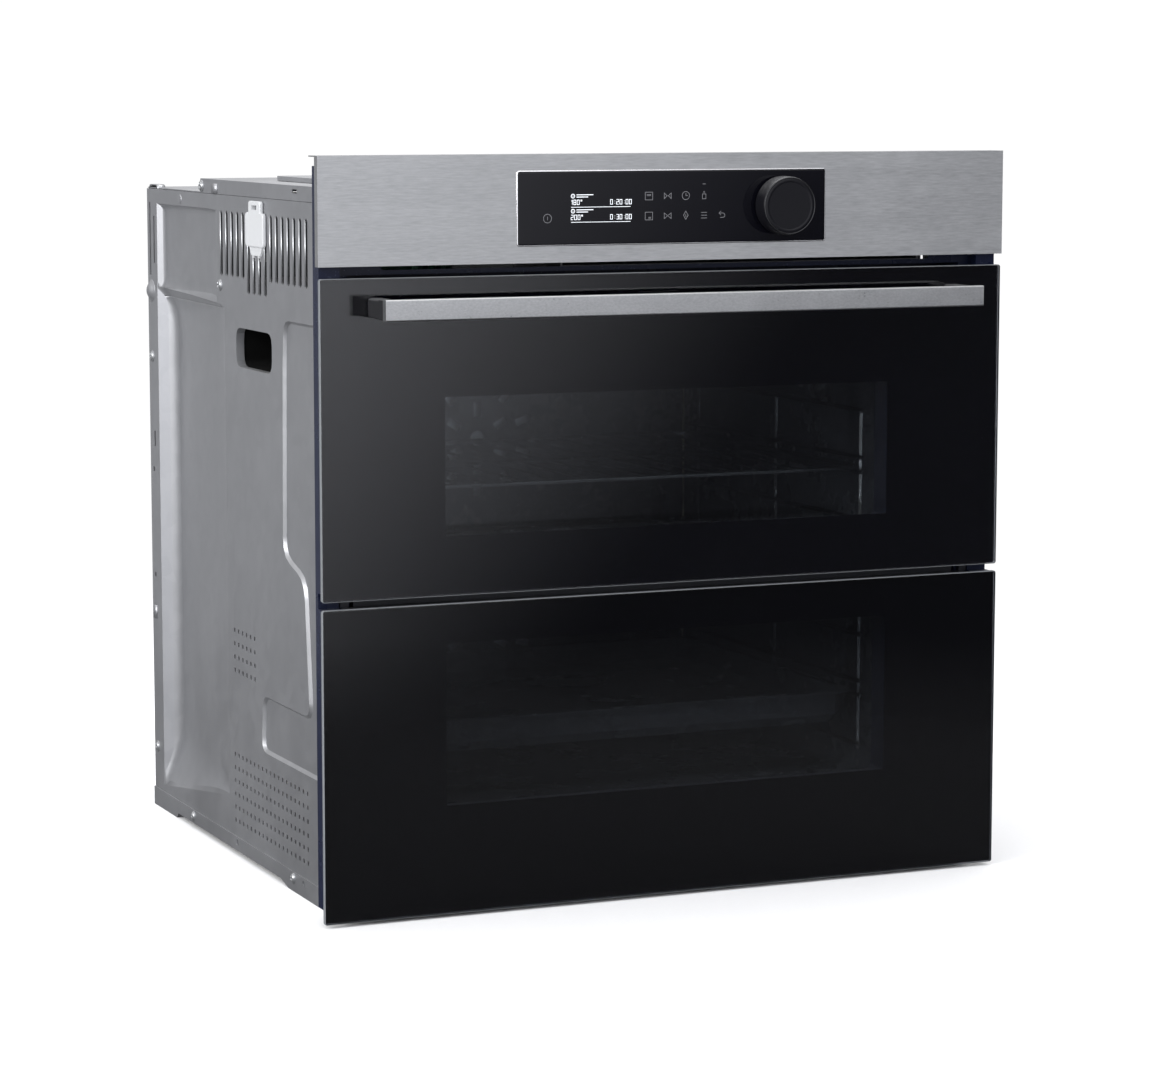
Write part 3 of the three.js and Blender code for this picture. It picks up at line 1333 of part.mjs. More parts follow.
// Doors
function doorGlass(z) {
  const pane = rounded([-GLASS_X, GLASS_X], z, GLASS_CORNER);
  return prism(pane, "s", [FRONT_S, GLASS_BACK], GLASS_EDGE);
}
function innerGlass(z) {
  const { x, s, corner } = BODY.inner;
  return prism(rounded([-x, x], z, corner), "s", s, GLASS_EDGE);
}
function doorBody(table) {
  const { front, rear, corner, window, pocket, proud } = BODY;
  const body = join(
    prism(rounded([-front.x, front.x], table.frontZ, corner), "s", front.s),
    block([-rear.x, rear.x], rear.s, table.rearZ),
  );
  const through = grow([front.s[0], rear.s[1]], proud);
  const bays = SIDES.map((k) => block(onSide(k, pocket.x), [pocket.s[0] - proud, pocket.s[1]], table.pocketZ));
  const band = block([-table.band.x, table.band.x], [pocket.s[0] - proud, pocket.s[1]], table.band.z);
  const opening = prism(rounded([-window.x, window.x], table.window, window.corner), "s", through);
  return cut(body, opening, bays, band);
}
function lowerBody() {
  const { post, link, r, x } = SPLIT_LUG;
  const through = grow([BODY.front.s[0], BODY.rear.s[1]], BODY.proud);
  const hingeBays = SIDES.map((k) => block(onSide(k, HINGE_BAY.x), through, HINGE_BAY.z));
  const sockets = SIDES.map((k) => block(onSide(k, LATCH_SOCKET.x), LATCH_SOCKET.s, LATCH_SOCKET.z));
  const lugs = SIDES.flatMap((k) => [
    block(onSide(k, x), post.s, post.z),
    block(onSide(k, x), link.s, link.z),
    rod(r, onSide(k, x), "x", UPPER_PIVOT, 12),
  ]);
  const bores = SIDES.map((k) => rod(SPLIT_PIN.bore, onSide(k, grow(x, BODY.proud)), "x", UPPER_PIVOT, 10));
  return cut(join(doorBody(LOWER_BODY), lugs), hingeBays, sockets, bores);
}
function upperBody() {
  const notches = SIDES.map((k) => block(onSide(k, SPLIT_NOTCH.x), grow([BODY.front.s[0], BODY.rear.s[1]], BODY.proud), SPLIT_NOTCH.z));
  const bores = SIDES.map((k) => rod(SPLIT_PIN.bore, onSide(k, SPLIT_PIN.socket), "x", UPPER_PIVOT, 10));
  const bays = SIDES.map((k) => block(onSide(k, LATCH_BAY.x), LATCH_BAY.s, LATCH_BAY.z));
  return cut(doorBody(UPPER_BODY), notches, bores, bays);
}
function hingeCase() {
  const { x, gauge, s, z, eye, pin, lip, roller } = HINGE_CASE;
  const profile = outline([
    [s[0], z[0], 0],
    [s[0], z[1], 0],
    [s[1], z[1], lip],
    [s[1], z[0] + 2 * lip, lip],
    [LOWER_PIVOT[0] + eye, z[0], 0],
  ]);
  const plate = (limits) => join(prism(profile, "x", limits), rod(eye, limits, "x", LOWER_PIVOT, 12), block(limits, [s[0], LOWER_PIVOT[0]], [z[0] - eye, z[0] + eye]));
  const cheeks = [[x[0], x[0] + gauge], [x[1] - gauge, x[1]]].map(plate);
  const base = block(x, [s[0], s[0] + gauge], [z[0] - eye, z[1]]);
  const pins = [rod(pin, x, "x", LOWER_PIVOT, 10), rod(roller.r, x, "x", [roller.s, roller.z], 10)];
  return join(base, cheeks, pins);
}
function hingeArm() {
  const { x, s, z, corner, shares, bore } = HINGE_ARM;
  const plate = prism(outline(spot(s, z, corner, shares)), "x", x, 0, 2);
  return cut(plate, rod(bore, grow(x, bore), "x", LOWER_PIVOT, 12));
}
function hingeReceiver() {
  const { x, s, z, gauge, foot } = RECEIVER;
  const inside = block(grow(x, -gauge), [s[0] - gauge, s[1] - gauge], grow(z, -gauge));
  return join(cut(block(x, s, z), inside), block(from(x[1], foot.reach), from(s[0], gauge), foot.z));
}
function splitPin() {
  return rod(SPLIT_PIN.r, SPLIT_PIN.x, "x", UPPER_PIVOT, 10);
}
function latchHook() {
  const { x, s, z, corner, shares, slots, travel } = LATCH;
  const holes = slots.rows.map((row) => rounded(slots.x, row, slots.corner));
  return cut(prism(outline(spot(x, z, corner, shares)), "s", s, 0, 2), prism(holes, "s", grow(s, travel), 0, 1));
}

// Handle
function handleBar() {
  const { x, z, s, corner, wall, lip } = HANDLE;
  const outer = rounded(s, z, corner);
  const hollow = block([-x - wall, x + wall], [s[0] + wall, s[1] + wall], grow(z, -wall - GAP));
  const skin = prism(outer, "x", [-x, x], 0, 3);
  const core = cut(hollow, SIDES.map((k) => block(onSide(k, [x - wall, x + 2 * wall]), grow(s, wall), z)));
  return cut(skin, core);
}
function handleCarrier() {
  const { x, z, s, post, postS, postCorner, pocket, groove } = CARRIER;
  const posts = SIDES.map((k) => prism(rounded(onSide(k, [x - post, x]), z, postCorner), "s", postS));
  const beam = join(block([-x, x], s, z), posts);
  return cut(
    beam,
    block([-pocket.x, pocket.x], pocket.s, pocket.z),
    block([-groove.x, groove.x], groove.s, groove.z),
  );
}
function handleLever() {
  const { x, z, s, corner, bevel, grips, grip } = LEVER;
  const tab = prism(rounded([-x, x], z, corner), "s", s, bevel);
  const ribs = grips.map((at) => block(about(at, grip.half), grip.s, grip.z));
  return cut(tab, ribs);
}

// Assembly
const group = new THREE.Group();
group.name = "wall_oven";
group.position.y = -mid([HANDLE.s[0], CHASSIS_BACK + GAP + BACK.bulge.depth]);

function add(name, body, finish, mirror = false) {
  const { numProp, vertProperties, triVerts } = body.getMesh();
  const count = vertProperties.length / numProp;
  const positions = new Float32Array(count * 3);
  const flip = mirror ? -1 : 1;
  for (let i = 0; i < count; i++) {
    const [x, s, z] = vertProperties.subarray(i * numProp, i * numProp + 3);
    positions.set([flip * x, s, z], i * 3);
  }
  const index = Array.from(triVerts, (_, i) => triVerts[mirror ? i + [0, 1, -1][i % 3] : i]);
  const geometry = new THREE.BufferGeometry();
  geometry.setAttribute("position", new THREE.BufferAttribute(positions, 3));
  geometry.setIndex(index);
  geometry.computeVertexNormals();
  const [color, roughness, metalness] = FINISH[finish];
  const material = new THREE.MeshStandardMaterial({ color, roughness, metalness, flatShading: true });
  const mesh = new THREE.Mesh(geometry, material);
  mesh.name = name;
  group.add(mesh);
}
// The piece is built for one side and mirrored for the other.
function pair(name, body, finish, built) {
  add(`${name}_left`, body, finish, built === "right");
  add(`${name}_right`, body, finish, built === "left");
}

add("side_panel_left", sidePanel([PUNCHED_LARGE, PUNCHED_SMALL]), "galvanised");
add("side_panel_right", sidePanel([]), "galvanised", true);
add("side_clip_left", sideClip(), "whitePlastic");
add("base_plate", basePlate(), "galvanised");
add("back_cover", backCover(), "galvanised");
add("top_plate", topPlate(), "galvanised");
add("control_box_cover", controlBoxCover(), "galvanised");
add("air_duct", airDuct(), "galvanised");
add("partition_plate", partitionPlate(), "galvanised");
add("front_frame", frontFrame(), "enamelNavy");
add("cavity_liner", cavityLiner(), "enamelGrey");
add("insulation_blanket", insulation(), "wool");
add("fan_cover", fanCover(), "enamelGrey");
for (const [level, z] of Object.entries(FAN_AXES)) {
  add(`fan_motor_${level}`, motor(FAN_MOTOR, "s", [0, z]), "steel");
  add(`convection_fan_${level}`, convectionFan(z), "aluminium");
  add(`ring_heater_${level}`, ringHeater(z), "element");
}
add("grill_element", heatingElement(GRILL), "element");
add("bottom_element", heatingElement(BOTTOM_HEATER), "element");
add("lamp_glass", lampGlass(), "lens");
add("lamp_holder", lampHolder(), "steel");
add("door_gasket", doorGasket(), "silicone");
pair("side_rack", sideRack(), "chrome", "right");
add("wire_rack", wireRack(), "chrome");
add("divider_plate", dividerPlate(), "enamelGrey");
add("baking_tray", bakingTray(), "enamelGrey");
add("cooling_fan_housing", blowerHousing(), "galvanised");
add("cooling_fan", blowerWheel(), "blackPlastic");
add("cooling_motor", motor(BLOWER_MOTOR, "z", BLOWER.centre), "steel");
add("power_board", powerBoard(), "board");
add("terminal_block", terminalBlock(), "blackPlastic");
add("control_panel", controlPanel(), "steel");
add("control_glass", controlGlass(), "blackGlass");
add("display_module", displayModule(), "blackPlastic");
add("control_board", controlBoard(), "board");
add("knob_encoder", knobEncoder(), "steel");
add("encoder_shaft", encoderShaft(), "steel");
add("knob", knob(), "knob");
pair("hinge_receiver", hingeReceiver(), "zinc", "right");
pair("hinge_arm", hingeArm(), "zinc", "right");
pair("hinge_case", hingeCase(), "zinc", "right");
pair("split_pin", splitPin(), "zinc", "right");
add("lower_door_glass", doorGlass(LOWER_GLASS_Z), "blackGlass");
add("lower_door_frame", lowerBody(), "enamelNavy");
add("lower_inner_glass", innerGlass(LOWER_BODY.innerZ), "clearGlass");
add("upper_door_glass", doorGlass(UPPER_GLASS_Z), "blackGlass");
add("upper_door_frame", upperBody(), "enamelNavy");
add("upper_inner_glass", innerGlass(UPPER_BODY.innerZ), "clearGlass");
pair("latch_hook", latchHook(), "zinc", "right");
add("handle_bar", handleBar(), "steel");
add("handle_carrier", handleCarrier(), "blackPlastic");
add("handle_lever", handleLever(), "blackPlastic");

export default group;
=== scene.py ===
# %% [markdown]
# # A built-in oven with a door that opens in two ways
#
# The rigid pieces of this oven come from a CAD model. This lesson gives them
# their finishes and adds what a CAD model leaves out: printed symbols, screws,
# bright trim, the fibre blanket, the floor and the light. The CAD model is loaded
# first, because every new piece takes its place from the nodes it sits on.

import math

import bmesh
import bpy
import numpy as np
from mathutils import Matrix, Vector


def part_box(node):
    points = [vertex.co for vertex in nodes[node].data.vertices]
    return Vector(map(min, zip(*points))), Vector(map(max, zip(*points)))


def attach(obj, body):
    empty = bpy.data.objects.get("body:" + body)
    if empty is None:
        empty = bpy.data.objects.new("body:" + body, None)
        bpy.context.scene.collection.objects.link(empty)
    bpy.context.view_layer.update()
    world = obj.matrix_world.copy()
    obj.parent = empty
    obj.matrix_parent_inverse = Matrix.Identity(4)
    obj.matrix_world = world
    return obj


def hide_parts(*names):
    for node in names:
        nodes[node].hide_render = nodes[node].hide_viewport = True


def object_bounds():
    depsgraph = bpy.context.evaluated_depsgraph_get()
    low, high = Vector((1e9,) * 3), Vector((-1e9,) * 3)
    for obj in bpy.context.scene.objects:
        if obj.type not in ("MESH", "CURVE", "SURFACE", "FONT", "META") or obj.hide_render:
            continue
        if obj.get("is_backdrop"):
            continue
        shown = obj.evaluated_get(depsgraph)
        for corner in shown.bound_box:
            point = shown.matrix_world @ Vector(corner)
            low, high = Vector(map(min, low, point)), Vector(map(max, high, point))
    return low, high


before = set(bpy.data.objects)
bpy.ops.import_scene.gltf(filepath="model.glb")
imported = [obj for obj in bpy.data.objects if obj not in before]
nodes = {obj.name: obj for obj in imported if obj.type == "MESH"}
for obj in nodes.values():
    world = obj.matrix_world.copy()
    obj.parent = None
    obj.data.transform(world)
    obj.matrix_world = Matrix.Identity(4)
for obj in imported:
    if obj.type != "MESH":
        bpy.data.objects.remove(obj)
cad_low, cad_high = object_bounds()
scene = bpy.context.scene
for plain in list(bpy.data.materials):
    bpy.data.materials.remove(plain)
print(len(nodes), "nodes, from", tuple(cad_low), "to", tuple(cad_high))

# %% [markdown]
# ## The camera
#
# The oven was photographed from its left and a little above, with a long lens.
# A camera could be placed by eye, but a few measured corners of the front and
# the side fix it much better: its place, its two angles and its focal length.
# A long lens keeps the far side almost as tall as the near one.

# %% Camera
IMAGE_WIDTH = 1150
SENSOR = 36.0
FOCAL_PIXELS = 3566.0
CAMERA_PLACE = (-1.1906, -2.8358, 0.6492)
CAMERA_TURN, CAMERA_DIP = math.radians(23.26), math.radians(7.2)

camera_data = bpy.data.cameras.new("camera")
camera_data.sensor_width = SENSOR
camera_data.lens = FOCAL_PIXELS / IMAGE_WIDTH * SENSOR
camera_data.clip_start, camera_data.clip_end = 0.05, 60
camera = bpy.data.objects.new("camera", camera_data)
camera.location = CAMERA_PLACE
camera.rotation_euler = (math.pi / 2 - CAMERA_DIP, 0, -CAMERA_TURN)
scene.collection.objects.link(camera)
scene.camera = camera
print("lens", round(camera_data.lens, 1), "mm")

# %% [markdown]
# ## Surfaces from numbers
#
# Each new piece is a grid of points, worked out for the whole grid at once. A
# grid could be built vertex by vertex with bmesh, but a formula of two
# parameters is shorter and shows what the shape is.

# %% Helpers that turn grids into pieces
MM = 0.001
CABINET_FACE = 243.5
SIDES = ((-1, "left"), (1, "right"))


def box_of(name):
    """The ranges of x, s and z that a CAD node fills, in mm."""
    low, high = (np.array(corner) / MM + (0, CABINET_FACE, 0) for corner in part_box(name))
    return list(zip(low, high))


def grid_faces(rows, columns, wrap_rows=False, wrap_columns=False):
    """The four corners of each cell of a grid of rows x columns points.

    Point (i, j) has number i * columns + j, and a wrapped side joins its last line to its first.
    """
    i = np.arange(rows if wrap_rows else rows - 1)[:, None]
    j = np.arange(columns if wrap_columns else columns - 1)[None, :]
    up, right = (i + 1) % rows, (j + 1) % columns
    corners = [i * columns + j, up * columns + j, up * columns + right, i * columns + right]
    return np.stack([np.broadcast_to(c, (len(i), j.shape[1])).ravel() for c in corners], 1)


def add_object(name, data):
    """A new object in the scene that shows this data."""
    made = bpy.data.objects.new(name, data)
    scene.collection.objects.link(made)
    return made


def new_piece(name, points, faces, material, body, smooth=True):
    """A mesh object of points (metres) and faces (a list), on a body, with a material."""
    mesh = bpy.data.meshes.new(name)
    mesh.from_pydata(np.asarray(points, float).reshape(-1, 3), [], faces)
    mesh.polygons.foreach_set("use_smooth", np.full(len(mesh.polygons), smooth))
    mesh.update()
    mesh.materials.append(material)
    piece = add_object(name, mesh)
    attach(piece, body)
    return piece


print("a 3 x 4 grid has", len(grid_faces(3, 4)), "cells")

# %% [markdown]
# ## Effects that several finishes share
#
# Brushed steel, rolled zinc and enamel are all broken up by something: strokes
# along one direction, patches of crystal, small specks, fingers and dust. Each
# effect is one node group with its own inputs, so every material can set its
# scale and strength. Photographs could be used instead, but they repeat and tie
# the pattern to a picture; noise on object coordinates never does.

# %% Node helpers
def link(tree, kind, *, settings=None, **inputs):
    """Adds a node of this kind and fills its inputs.

    A socket is linked, anything else is set as a value. In a name, _ stands for a space, and _0 is input 0.
    """
    made = tree.nodes.new(kind)
    for name, value in (settings or {}).items():
        setattr(made, name, value)
    for name, value in inputs.items():
        key = int(name[1:]) if name[1:].isdigit() else name.replace("_", " ")
        socket = made.inputs[key]
        if isinstance(value, bpy.types.NodeSocket):
            tree.links.new(value, socket)
        else:
            socket.default_value = value
    return made


def wire(tree, node, **sockets):
    """Links sockets into a node's inputs, with _ for a space."""
    for label, value in sockets.items():
        tree.links.new(value, node.inputs[label.replace("_", " ")])


def effect(name, inputs, outputs):
    """An empty node group with named inputs (name: default) and float outputs.

    Returns the group, its input node and its output node.
    """
    tree = bpy.data.node_groups.new(name, "ShaderNodeTree")
    for label, default in inputs.items():
        kind = "NodeSocketFloat" if isinstance(default, (int, float)) else "NodeSocketVector"
        tree.interface.new_socket(label, in_out="INPUT", socket_type=kind).default_value = default
    for label in outputs:
        tree.interface.new_socket(label, in_out="OUTPUT", socket_type="NodeSocketFloat")
    return tree, tree.nodes.new("NodeGroupInput"), tree.nodes.new("NodeGroupOutput")


def maths(tree, operation, a, b=0.0, c=0.0, clamp=False):
    """One Math node; returns its output socket."""
    settings = {"operation": operation, "use_clamp": clamp}
    return link(tree, "ShaderNodeMath", settings=settings, _0=a, _1=b, _2=c).outputs[0]


def spread(tree, value, low, high, to_low=0.0, to_high=1.0):
    """Maps low..high to to_low..to_high, and holds the ends."""
    ends = {"From_Min": low, "From_Max": high, "To_Min": to_low, "To_Max": to_high}
    return link(tree, "ShaderNodeMapRange", Value=value, **ends).outputs[0]


def vectors(tree, operation, **parts):
    """One Vector Math node, with its inputs as _0, _1 and _2; returns the node."""
    return link(tree, "ShaderNodeVectorMath", settings={"operation": operation}, **parts)


def coordinates(tree):
    """The place on the object, in metres."""
    return link(tree, "ShaderNodeTexCoord").outputs["Object"]


def noise(tree, place, scale, detail, roughness=0.5, **more):
    """Fractal noise at a place, about 0.5."""
    more.update(Vector=place, Scale=scale, Detail=detail, Roughness=roughness)
    return link(tree, "ShaderNodeTexNoise", **more).outputs[0]


print("helpers for nodes are ready")

# %% Brush strokes: noise that is stretched along one direction
strokes, into, out = effect("brush_strokes", {"Scale": (8.0, 900.0, 900.0), "Depth": 0.5}, ["Streak"])
place = coordinates(strokes)
stretched = vectors(strokes, "MULTIPLY", _0=place, _1=into.outputs["Scale"]).outputs[0]
fine = noise(strokes, stretched, 1.0, 4.0, 0.7)
wide = noise(strokes, stretched, 0.11, 2.0, 0.6)
both = maths(strokes, "MULTIPLY_ADD", wide, 0.2, maths(strokes, "MULTIPLY", fine, 0.8))
centred = maths(strokes, "MULTIPLY", maths(strokes, "SUBTRACT", both, 0.5), into.outputs["Depth"])
wire(strokes, out, Streak=maths(strokes, "ADD", centred, 0.5, clamp=True))
print("brush_strokes:", len(strokes.nodes), "nodes")

# %% Zinc crystals: flat patches of slightly different grey, blurred by rolling
spangle, into, out = effect("zinc_spangle", {"Size": 90.0, "Contrast": 0.5}, ["Patch", "Grain"])
place = coordinates(spangle)
bend = link(spangle, "ShaderNodeTexNoise", Vector=place, Scale=60.0, Detail=2.0)
sway = (0.012, 0.012, 0.012)
bent = vectors(spangle, "MULTIPLY_ADD", _0=bend.outputs["Color"], _1=sway, _2=place).outputs[0]
cells = link(spangle, "ShaderNodeTexVoronoi", Vector=bent, Scale=into.outputs["Size"])
level = link(spangle, "ShaderNodeSeparateColor", Color=cells.outputs["Color"]).outputs[0]
grain = noise(spangle, place, 700.0, 3.0, 0.7)
cloud = noise(spangle, place, 7.0, 3.0)
mix = maths(spangle, "MULTIPLY_ADD", cloud, 0.6, maths(spangle, "MULTIPLY", level, 0.4))
centred = maths(spangle, "MULTIPLY", maths(spangle, "SUBTRACT", mix, 0.5), into.outputs["Contrast"])
wire(spangle, out, Patch=maths(spangle, "ADD", centred, 0.5, clamp=True), Grain=grain)
print("zinc_spangle:", len(spangle.nodes), "nodes")

# %% Fingers and dust: broad marks where hands go, and a dull film on what faces up
marks, into, out = effect("fingers_and_dust", {"Marks": 0.3, "Dust": 0.3, "Scale": 18.0}, ["Mark", "Dust"])
place = coordinates(marks)
blotch = noise(marks, place, into.outputs["Scale"], 5.0, 0.65)
touched = maths(marks, "MULTIPLY", spread(marks, blotch, 0.42, 0.72), into.outputs["Marks"])
normal = link(marks, "ShaderNodeNewGeometry").outputs["Normal"]
facing = link(marks, "ShaderNodeSeparateXYZ", Vector=normal).outputs["Z"]
speck = noise(marks, place, 420.0, 2.0)
film = maths(marks, "MULTIPLY", spread(marks, facing, 0.3, 0.95), spread(marks, speck, 0.35, 0.7, 0.35, 1.0))
wire(marks, out, Mark=touched, Dust=maths(marks, "MULTIPLY", film, into.outputs["Dust"]))
print("fingers_and_dust:", len(marks.nodes), "nodes")

# %% Specks: the small light dots in oven enamel and the grit of moulded plastic
specks, into, out = effect("specks", {"Scale": 900.0, "Amount": 0.3}, ["Dot", "Grit"])
place = coordinates(specks)
dots = link(specks, "ShaderNodeTexVoronoi", Vector=place, Scale=into.outputs["Scale"]).outputs["Distance"]
chance = noise(specks, place, 260.0, 2.0)
near = spread(specks, dots, 0.30, 0.12)
some = maths(specks, "MULTIPLY", near, spread(specks, chance, 0.52, 0.62))
grit = noise(specks, place, into.outputs["Scale"], 4.0, 0.6)
wire(specks, out, Dot=maths(specks, "MULTIPLY", some, into.outputs["Amount"]), Grit=grit)
print("specks:", len(specks.nodes), "nodes")

# %% [markdown]
# ## Finishes
#
# One function starts every finish: a Principled shader with the values that are
# the same all over. What changes over the surface is then linked in, so that
# colour, roughness and a very small bump carry the real surface's detail.

# %% The start of a finish
def finish(name, colour, roughness, metallic=0.0, **constants):
    """A material with one Principled shader; returns the material, its tree and the shader."""
    made = bpy.data.materials.new(name)
    made.use_nodes = True
    tree = made.node_tree
    shader = tree.nodes["Principled BSDF"]
    shader.inputs["Base Color"].default_value = (*colour, 1)
    shader.inputs["Roughness"].default_value = roughness
    shader.inputs["Metallic"].default_value = metallic
    for label, value in constants.items():
        shader.inputs[label.replace("_", " ")].default_value = value
    return made, tree, shader


def use(tree, group, **values):
    """Places a shared effect in a material with its own values."""
    return link(tree, "ShaderNodeGroup", settings={"node_tree": group}, **values)


def blend(tree, factor, a, b):
    """A colour between a and b (linear RGB or sockets)."""
    full = [v if isinstance(v, bpy.types.NodeSocket) else (*v, 1) for v in (a, b)]
    made = link(tree, "ShaderNodeMix", settings={"data_type": "RGBA"}, _0=factor, _6=full[0], _7=full[1])
    return made.outputs[2]


def bump(tree, height, distance, strength=1.0):
    """A normal from a height that is distance metres deep."""
    return link(tree, "ShaderNodeBump", Strength=strength, Distance=distance, Height=height).outputs[0]


def wear(tree, shader, tint, dust_tint, roughness, reach, **film):
    """Wires the tint under a film of dust, and the roughness plus reach times the finger marks."""
    film = use(tree, marks, **film)
    dusty = blend(tree, film.outputs["Dust"], tint, dust_tint)
    rough = maths(tree, "MULTIPLY_ADD", film.outputs["Mark"], reach, roughness)
    wire(tree, shader, Base_Color=dusty, Roughness=rough)


print("finishes start from a Principled shader")

# %% Brushed steel of the fascia and the handle bar, stroked from left to right
def brushed_steel(name, light, dark, roughness, along=70.0):
    """Steel whose tint runs from dark to light over its strokes, and its roughness with it."""
    made, tree, shader = finish(name, light, roughness, 1.0, Anisotropic=0.5)
    streak = use(tree, strokes, Scale=(along, 760.0, 760.0), Depth=1.0).outputs["Streak"]
    tint = blend(tree, spread(tree, streak, 0.3, 0.7), dark, light)
    uneven = spread(tree, streak, 0.2, 0.8, roughness - 0.06, roughness + 0.07)
    wear(tree, shader, tint, (0.55, 0.55, 0.54), uneven, 0.25, Marks=0.25, Dust=0.25, Scale=14.0)
    wire(tree, shader, Normal=bump(tree, streak, 0.00004))
    return made


front_steel = brushed_steel("brushed_front_steel", (0.56, 0.565, 0.57), (0.40, 0.405, 0.41), 0.34)
bar_steel = brushed_steel("brushed_bar_steel", (0.54, 0.545, 0.55), (0.40, 0.405, 0.41), 0.30, 420.0)
print("brushed steel:", len(front_steel.node_tree.nodes), "nodes")

# %% Zinc-coated sheet of the casing
def zinc_sheet(name, light, dark, roughness, size=90.0):
    """Zinc whose crystals differ a little in tint and in roughness."""
    made, tree, shader = finish(name, light, roughness, 0.85)
    zinc = use(tree, spangle, Size=size, Contrast=0.4)
    patch, grain = zinc.outputs["Patch"], zinc.outputs["Grain"]
    tint = blend(tree, spread(tree, patch, 0.2, 0.8), dark, light)
    uneven = spread(tree, patch, 0.2, 0.8, roughness - 0.05, roughness + 0.06)
    wear(tree, shader, tint, (0.42, 0.42, 0.41), uneven, 0.3, Marks=0.4, Dust=0.35, Scale=9.0)
    wire(tree, shader, Normal=bump(tree, grain, 0.00005, 0.6))
    return made


casing_zinc = zinc_sheet("galvanised_sheet", (0.43, 0.435, 0.45), (0.35, 0.355, 0.37), 0.40)
part_zinc = zinc_sheet("zinc_steel", (0.48, 0.49, 0.50), (0.36, 0.37, 0.38), 0.33, 240.0)
# A darkened copy of the zinc for the plates deep inside: painted shade where little light reaches behind the
# vents.
shaded_inner_zinc = zinc_sheet("shaded_inner_zinc", (0.15, 0.15, 0.155), (0.11, 0.11, 0.115), 0.5)
machine_steel = zinc_sheet("machine_steel", (0.42, 0.42, 0.425), (0.31, 0.31, 0.32), 0.38, 300.0)
print("zinc sheet:", len(casing_zinc.node_tree.nodes), "nodes")

# %% Fired enamel: glossy, with small light specks and a slow ripple
def enamel(name, colour, speck_colour, roughness, amount, level=0.4):
    """Enamel of one colour with specks of another; level is the strength of its gloss."""
    made, tree, shader = finish(name, colour, roughness, 0.0, Specular_IOR_Level=level)
    dot = use(tree, specks, Scale=620.0, Amount=amount).outputs["Dot"]
    tint = blend(tree, dot, colour, speck_colour)
    wear(tree, shader, tint, (0.3, 0.3, 0.3), roughness, 1.0, Marks=0.1, Dust=0.1, Scale=12.0)
    ripple = noise(tree, coordinates(tree), 140.0, 2.0)
    wire(tree, shader, Normal=bump(tree, ripple, 0.00006, 0.5))
    return made


navy_enamel = enamel("navy_enamel", (0.005, 0.008, 0.026), (0.10, 0.12, 0.18), 0.26, 0.5, 0.2)
# Near-black enamel for the door frames, darker than the navy front frame: painted shade in the gap between
# the doors.
door_gap_shade_enamel = enamel("door_gap_shade_enamel", (0.003, 0.004, 0.009), (0.06, 0.07, 0.10), 0.30, 0.3)
grey_enamel = enamel("grey_enamel", (0.045, 0.048, 0.055), (0.34, 0.35, 0.38), 0.24, 0.9)
print("enamel:", len(grey_enamel.node_tree.nodes), "nodes")

# %% Glass: tinted door panes, and the clear inner panes and lamp glass
def pane_glass(name, tint, roughness=0.02):
    """Glass that lets lamps through.

    The eye sees a Principled pane, and shadow rays pass it straight, so that light reaches what is behind.
    """
    made, tree, shader = finish(name, tint, roughness, 0.0, Transmission_Weight=1.0, IOR=1.5)
    film = use(tree, marks, Marks=0.5, Dust=0.0, Scale=6.0)
    wire(tree, shader, Roughness=maths(tree, "MULTIPLY_ADD", film.outputs["Mark"], 0.04, roughness))
    straight = link(tree, "ShaderNodeBsdfTransparent", Color=(0.95, 0.95, 0.95, 1)).outputs[0]
    shadow = link(tree, "ShaderNodeLightPath").outputs["Is Shadow Ray"]
    both = link(tree, "ShaderNodeMixShader", _0=shadow, _1=shader.outputs[0], _2=straight).outputs[0]
    wire(tree, tree.nodes["Material Output"], Surface=both)
    return made


door_glass = pane_glass("door_glass", (0.58, 0.59, 0.62))
lower_glass = pane_glass("lower_glass", (0.36, 0.37, 0.40))
clear_glass = pane_glass("clear_glass", (0.90, 0.94, 0.93))
print("panes:", door_glass.name, lower_glass.name, clear_glass.name)

# %% Black print behind the door glass, and the black control glass
def black_gloss(name, colour, roughness, level=0.5):
    """A smooth black coat; level is the strength of its gloss."""
    made, tree, shader = finish(name, colour, roughness, 0.0, Specular_IOR_Level=level)
    wear(tree, shader, colour, (0.3, 0.3, 0.3), roughness, 0.06, Marks=0.35, Dust=0.12, Scale=7.0)
    return made


black_print = black_gloss("black_print", (0.003, 0.003, 0.005), 0.30, 0.0)
control_black = black_gloss("control_black", (0.003, 0.003, 0.005), 0.05, 0.33)
print("black print and control glass are ready")

# %% Moulded plastics, rubber and the fibre blanket
def moulded(name, colour, roughness, depth=0.00004, grit=2200.0, level=0.5):
    """Plastic or rubber with a fine grit; the duller it is, the less its dust shows."""
    made, tree, shader = finish(name, colour, roughness, 0.0, Specular_IOR_Level=level)
    grain = use(tree, specks, Scale=grit, Amount=0.0).outputs["Grit"]
    dust = [min(1, 0.02 + 4 * level) * 0.4] * 3
    wear(tree, shader, colour, dust, roughness, 0.25, Marks=0.3, Dust=0.25, Scale=25.0)
    wire(tree, shader, Normal=bump(tree, grain, depth, 0.7))
    return made


black_plastic = moulded("black_plastic", (0.012, 0.012, 0.014), 0.42)
knob_plastic = moulded("knob_plastic", (0.005, 0.005, 0.007), 0.34, level=0.2)
# Almost no colour and no gloss: painted shade inside the hand holes.
hole_shade_black = moulded("hole_shade_black", (0.002, 0.002, 0.002), 0.8, level=0.02)
white_plastic = moulded("white_plastic", (0.53, 0.54, 0.55), 0.38)
gasket_rubber = moulded("silicone", (0.02, 0.02, 0.022), 0.62, 0.00012, 900.0)
print("plastics:", black_plastic.name, knob_plastic.name, white_plastic.name)
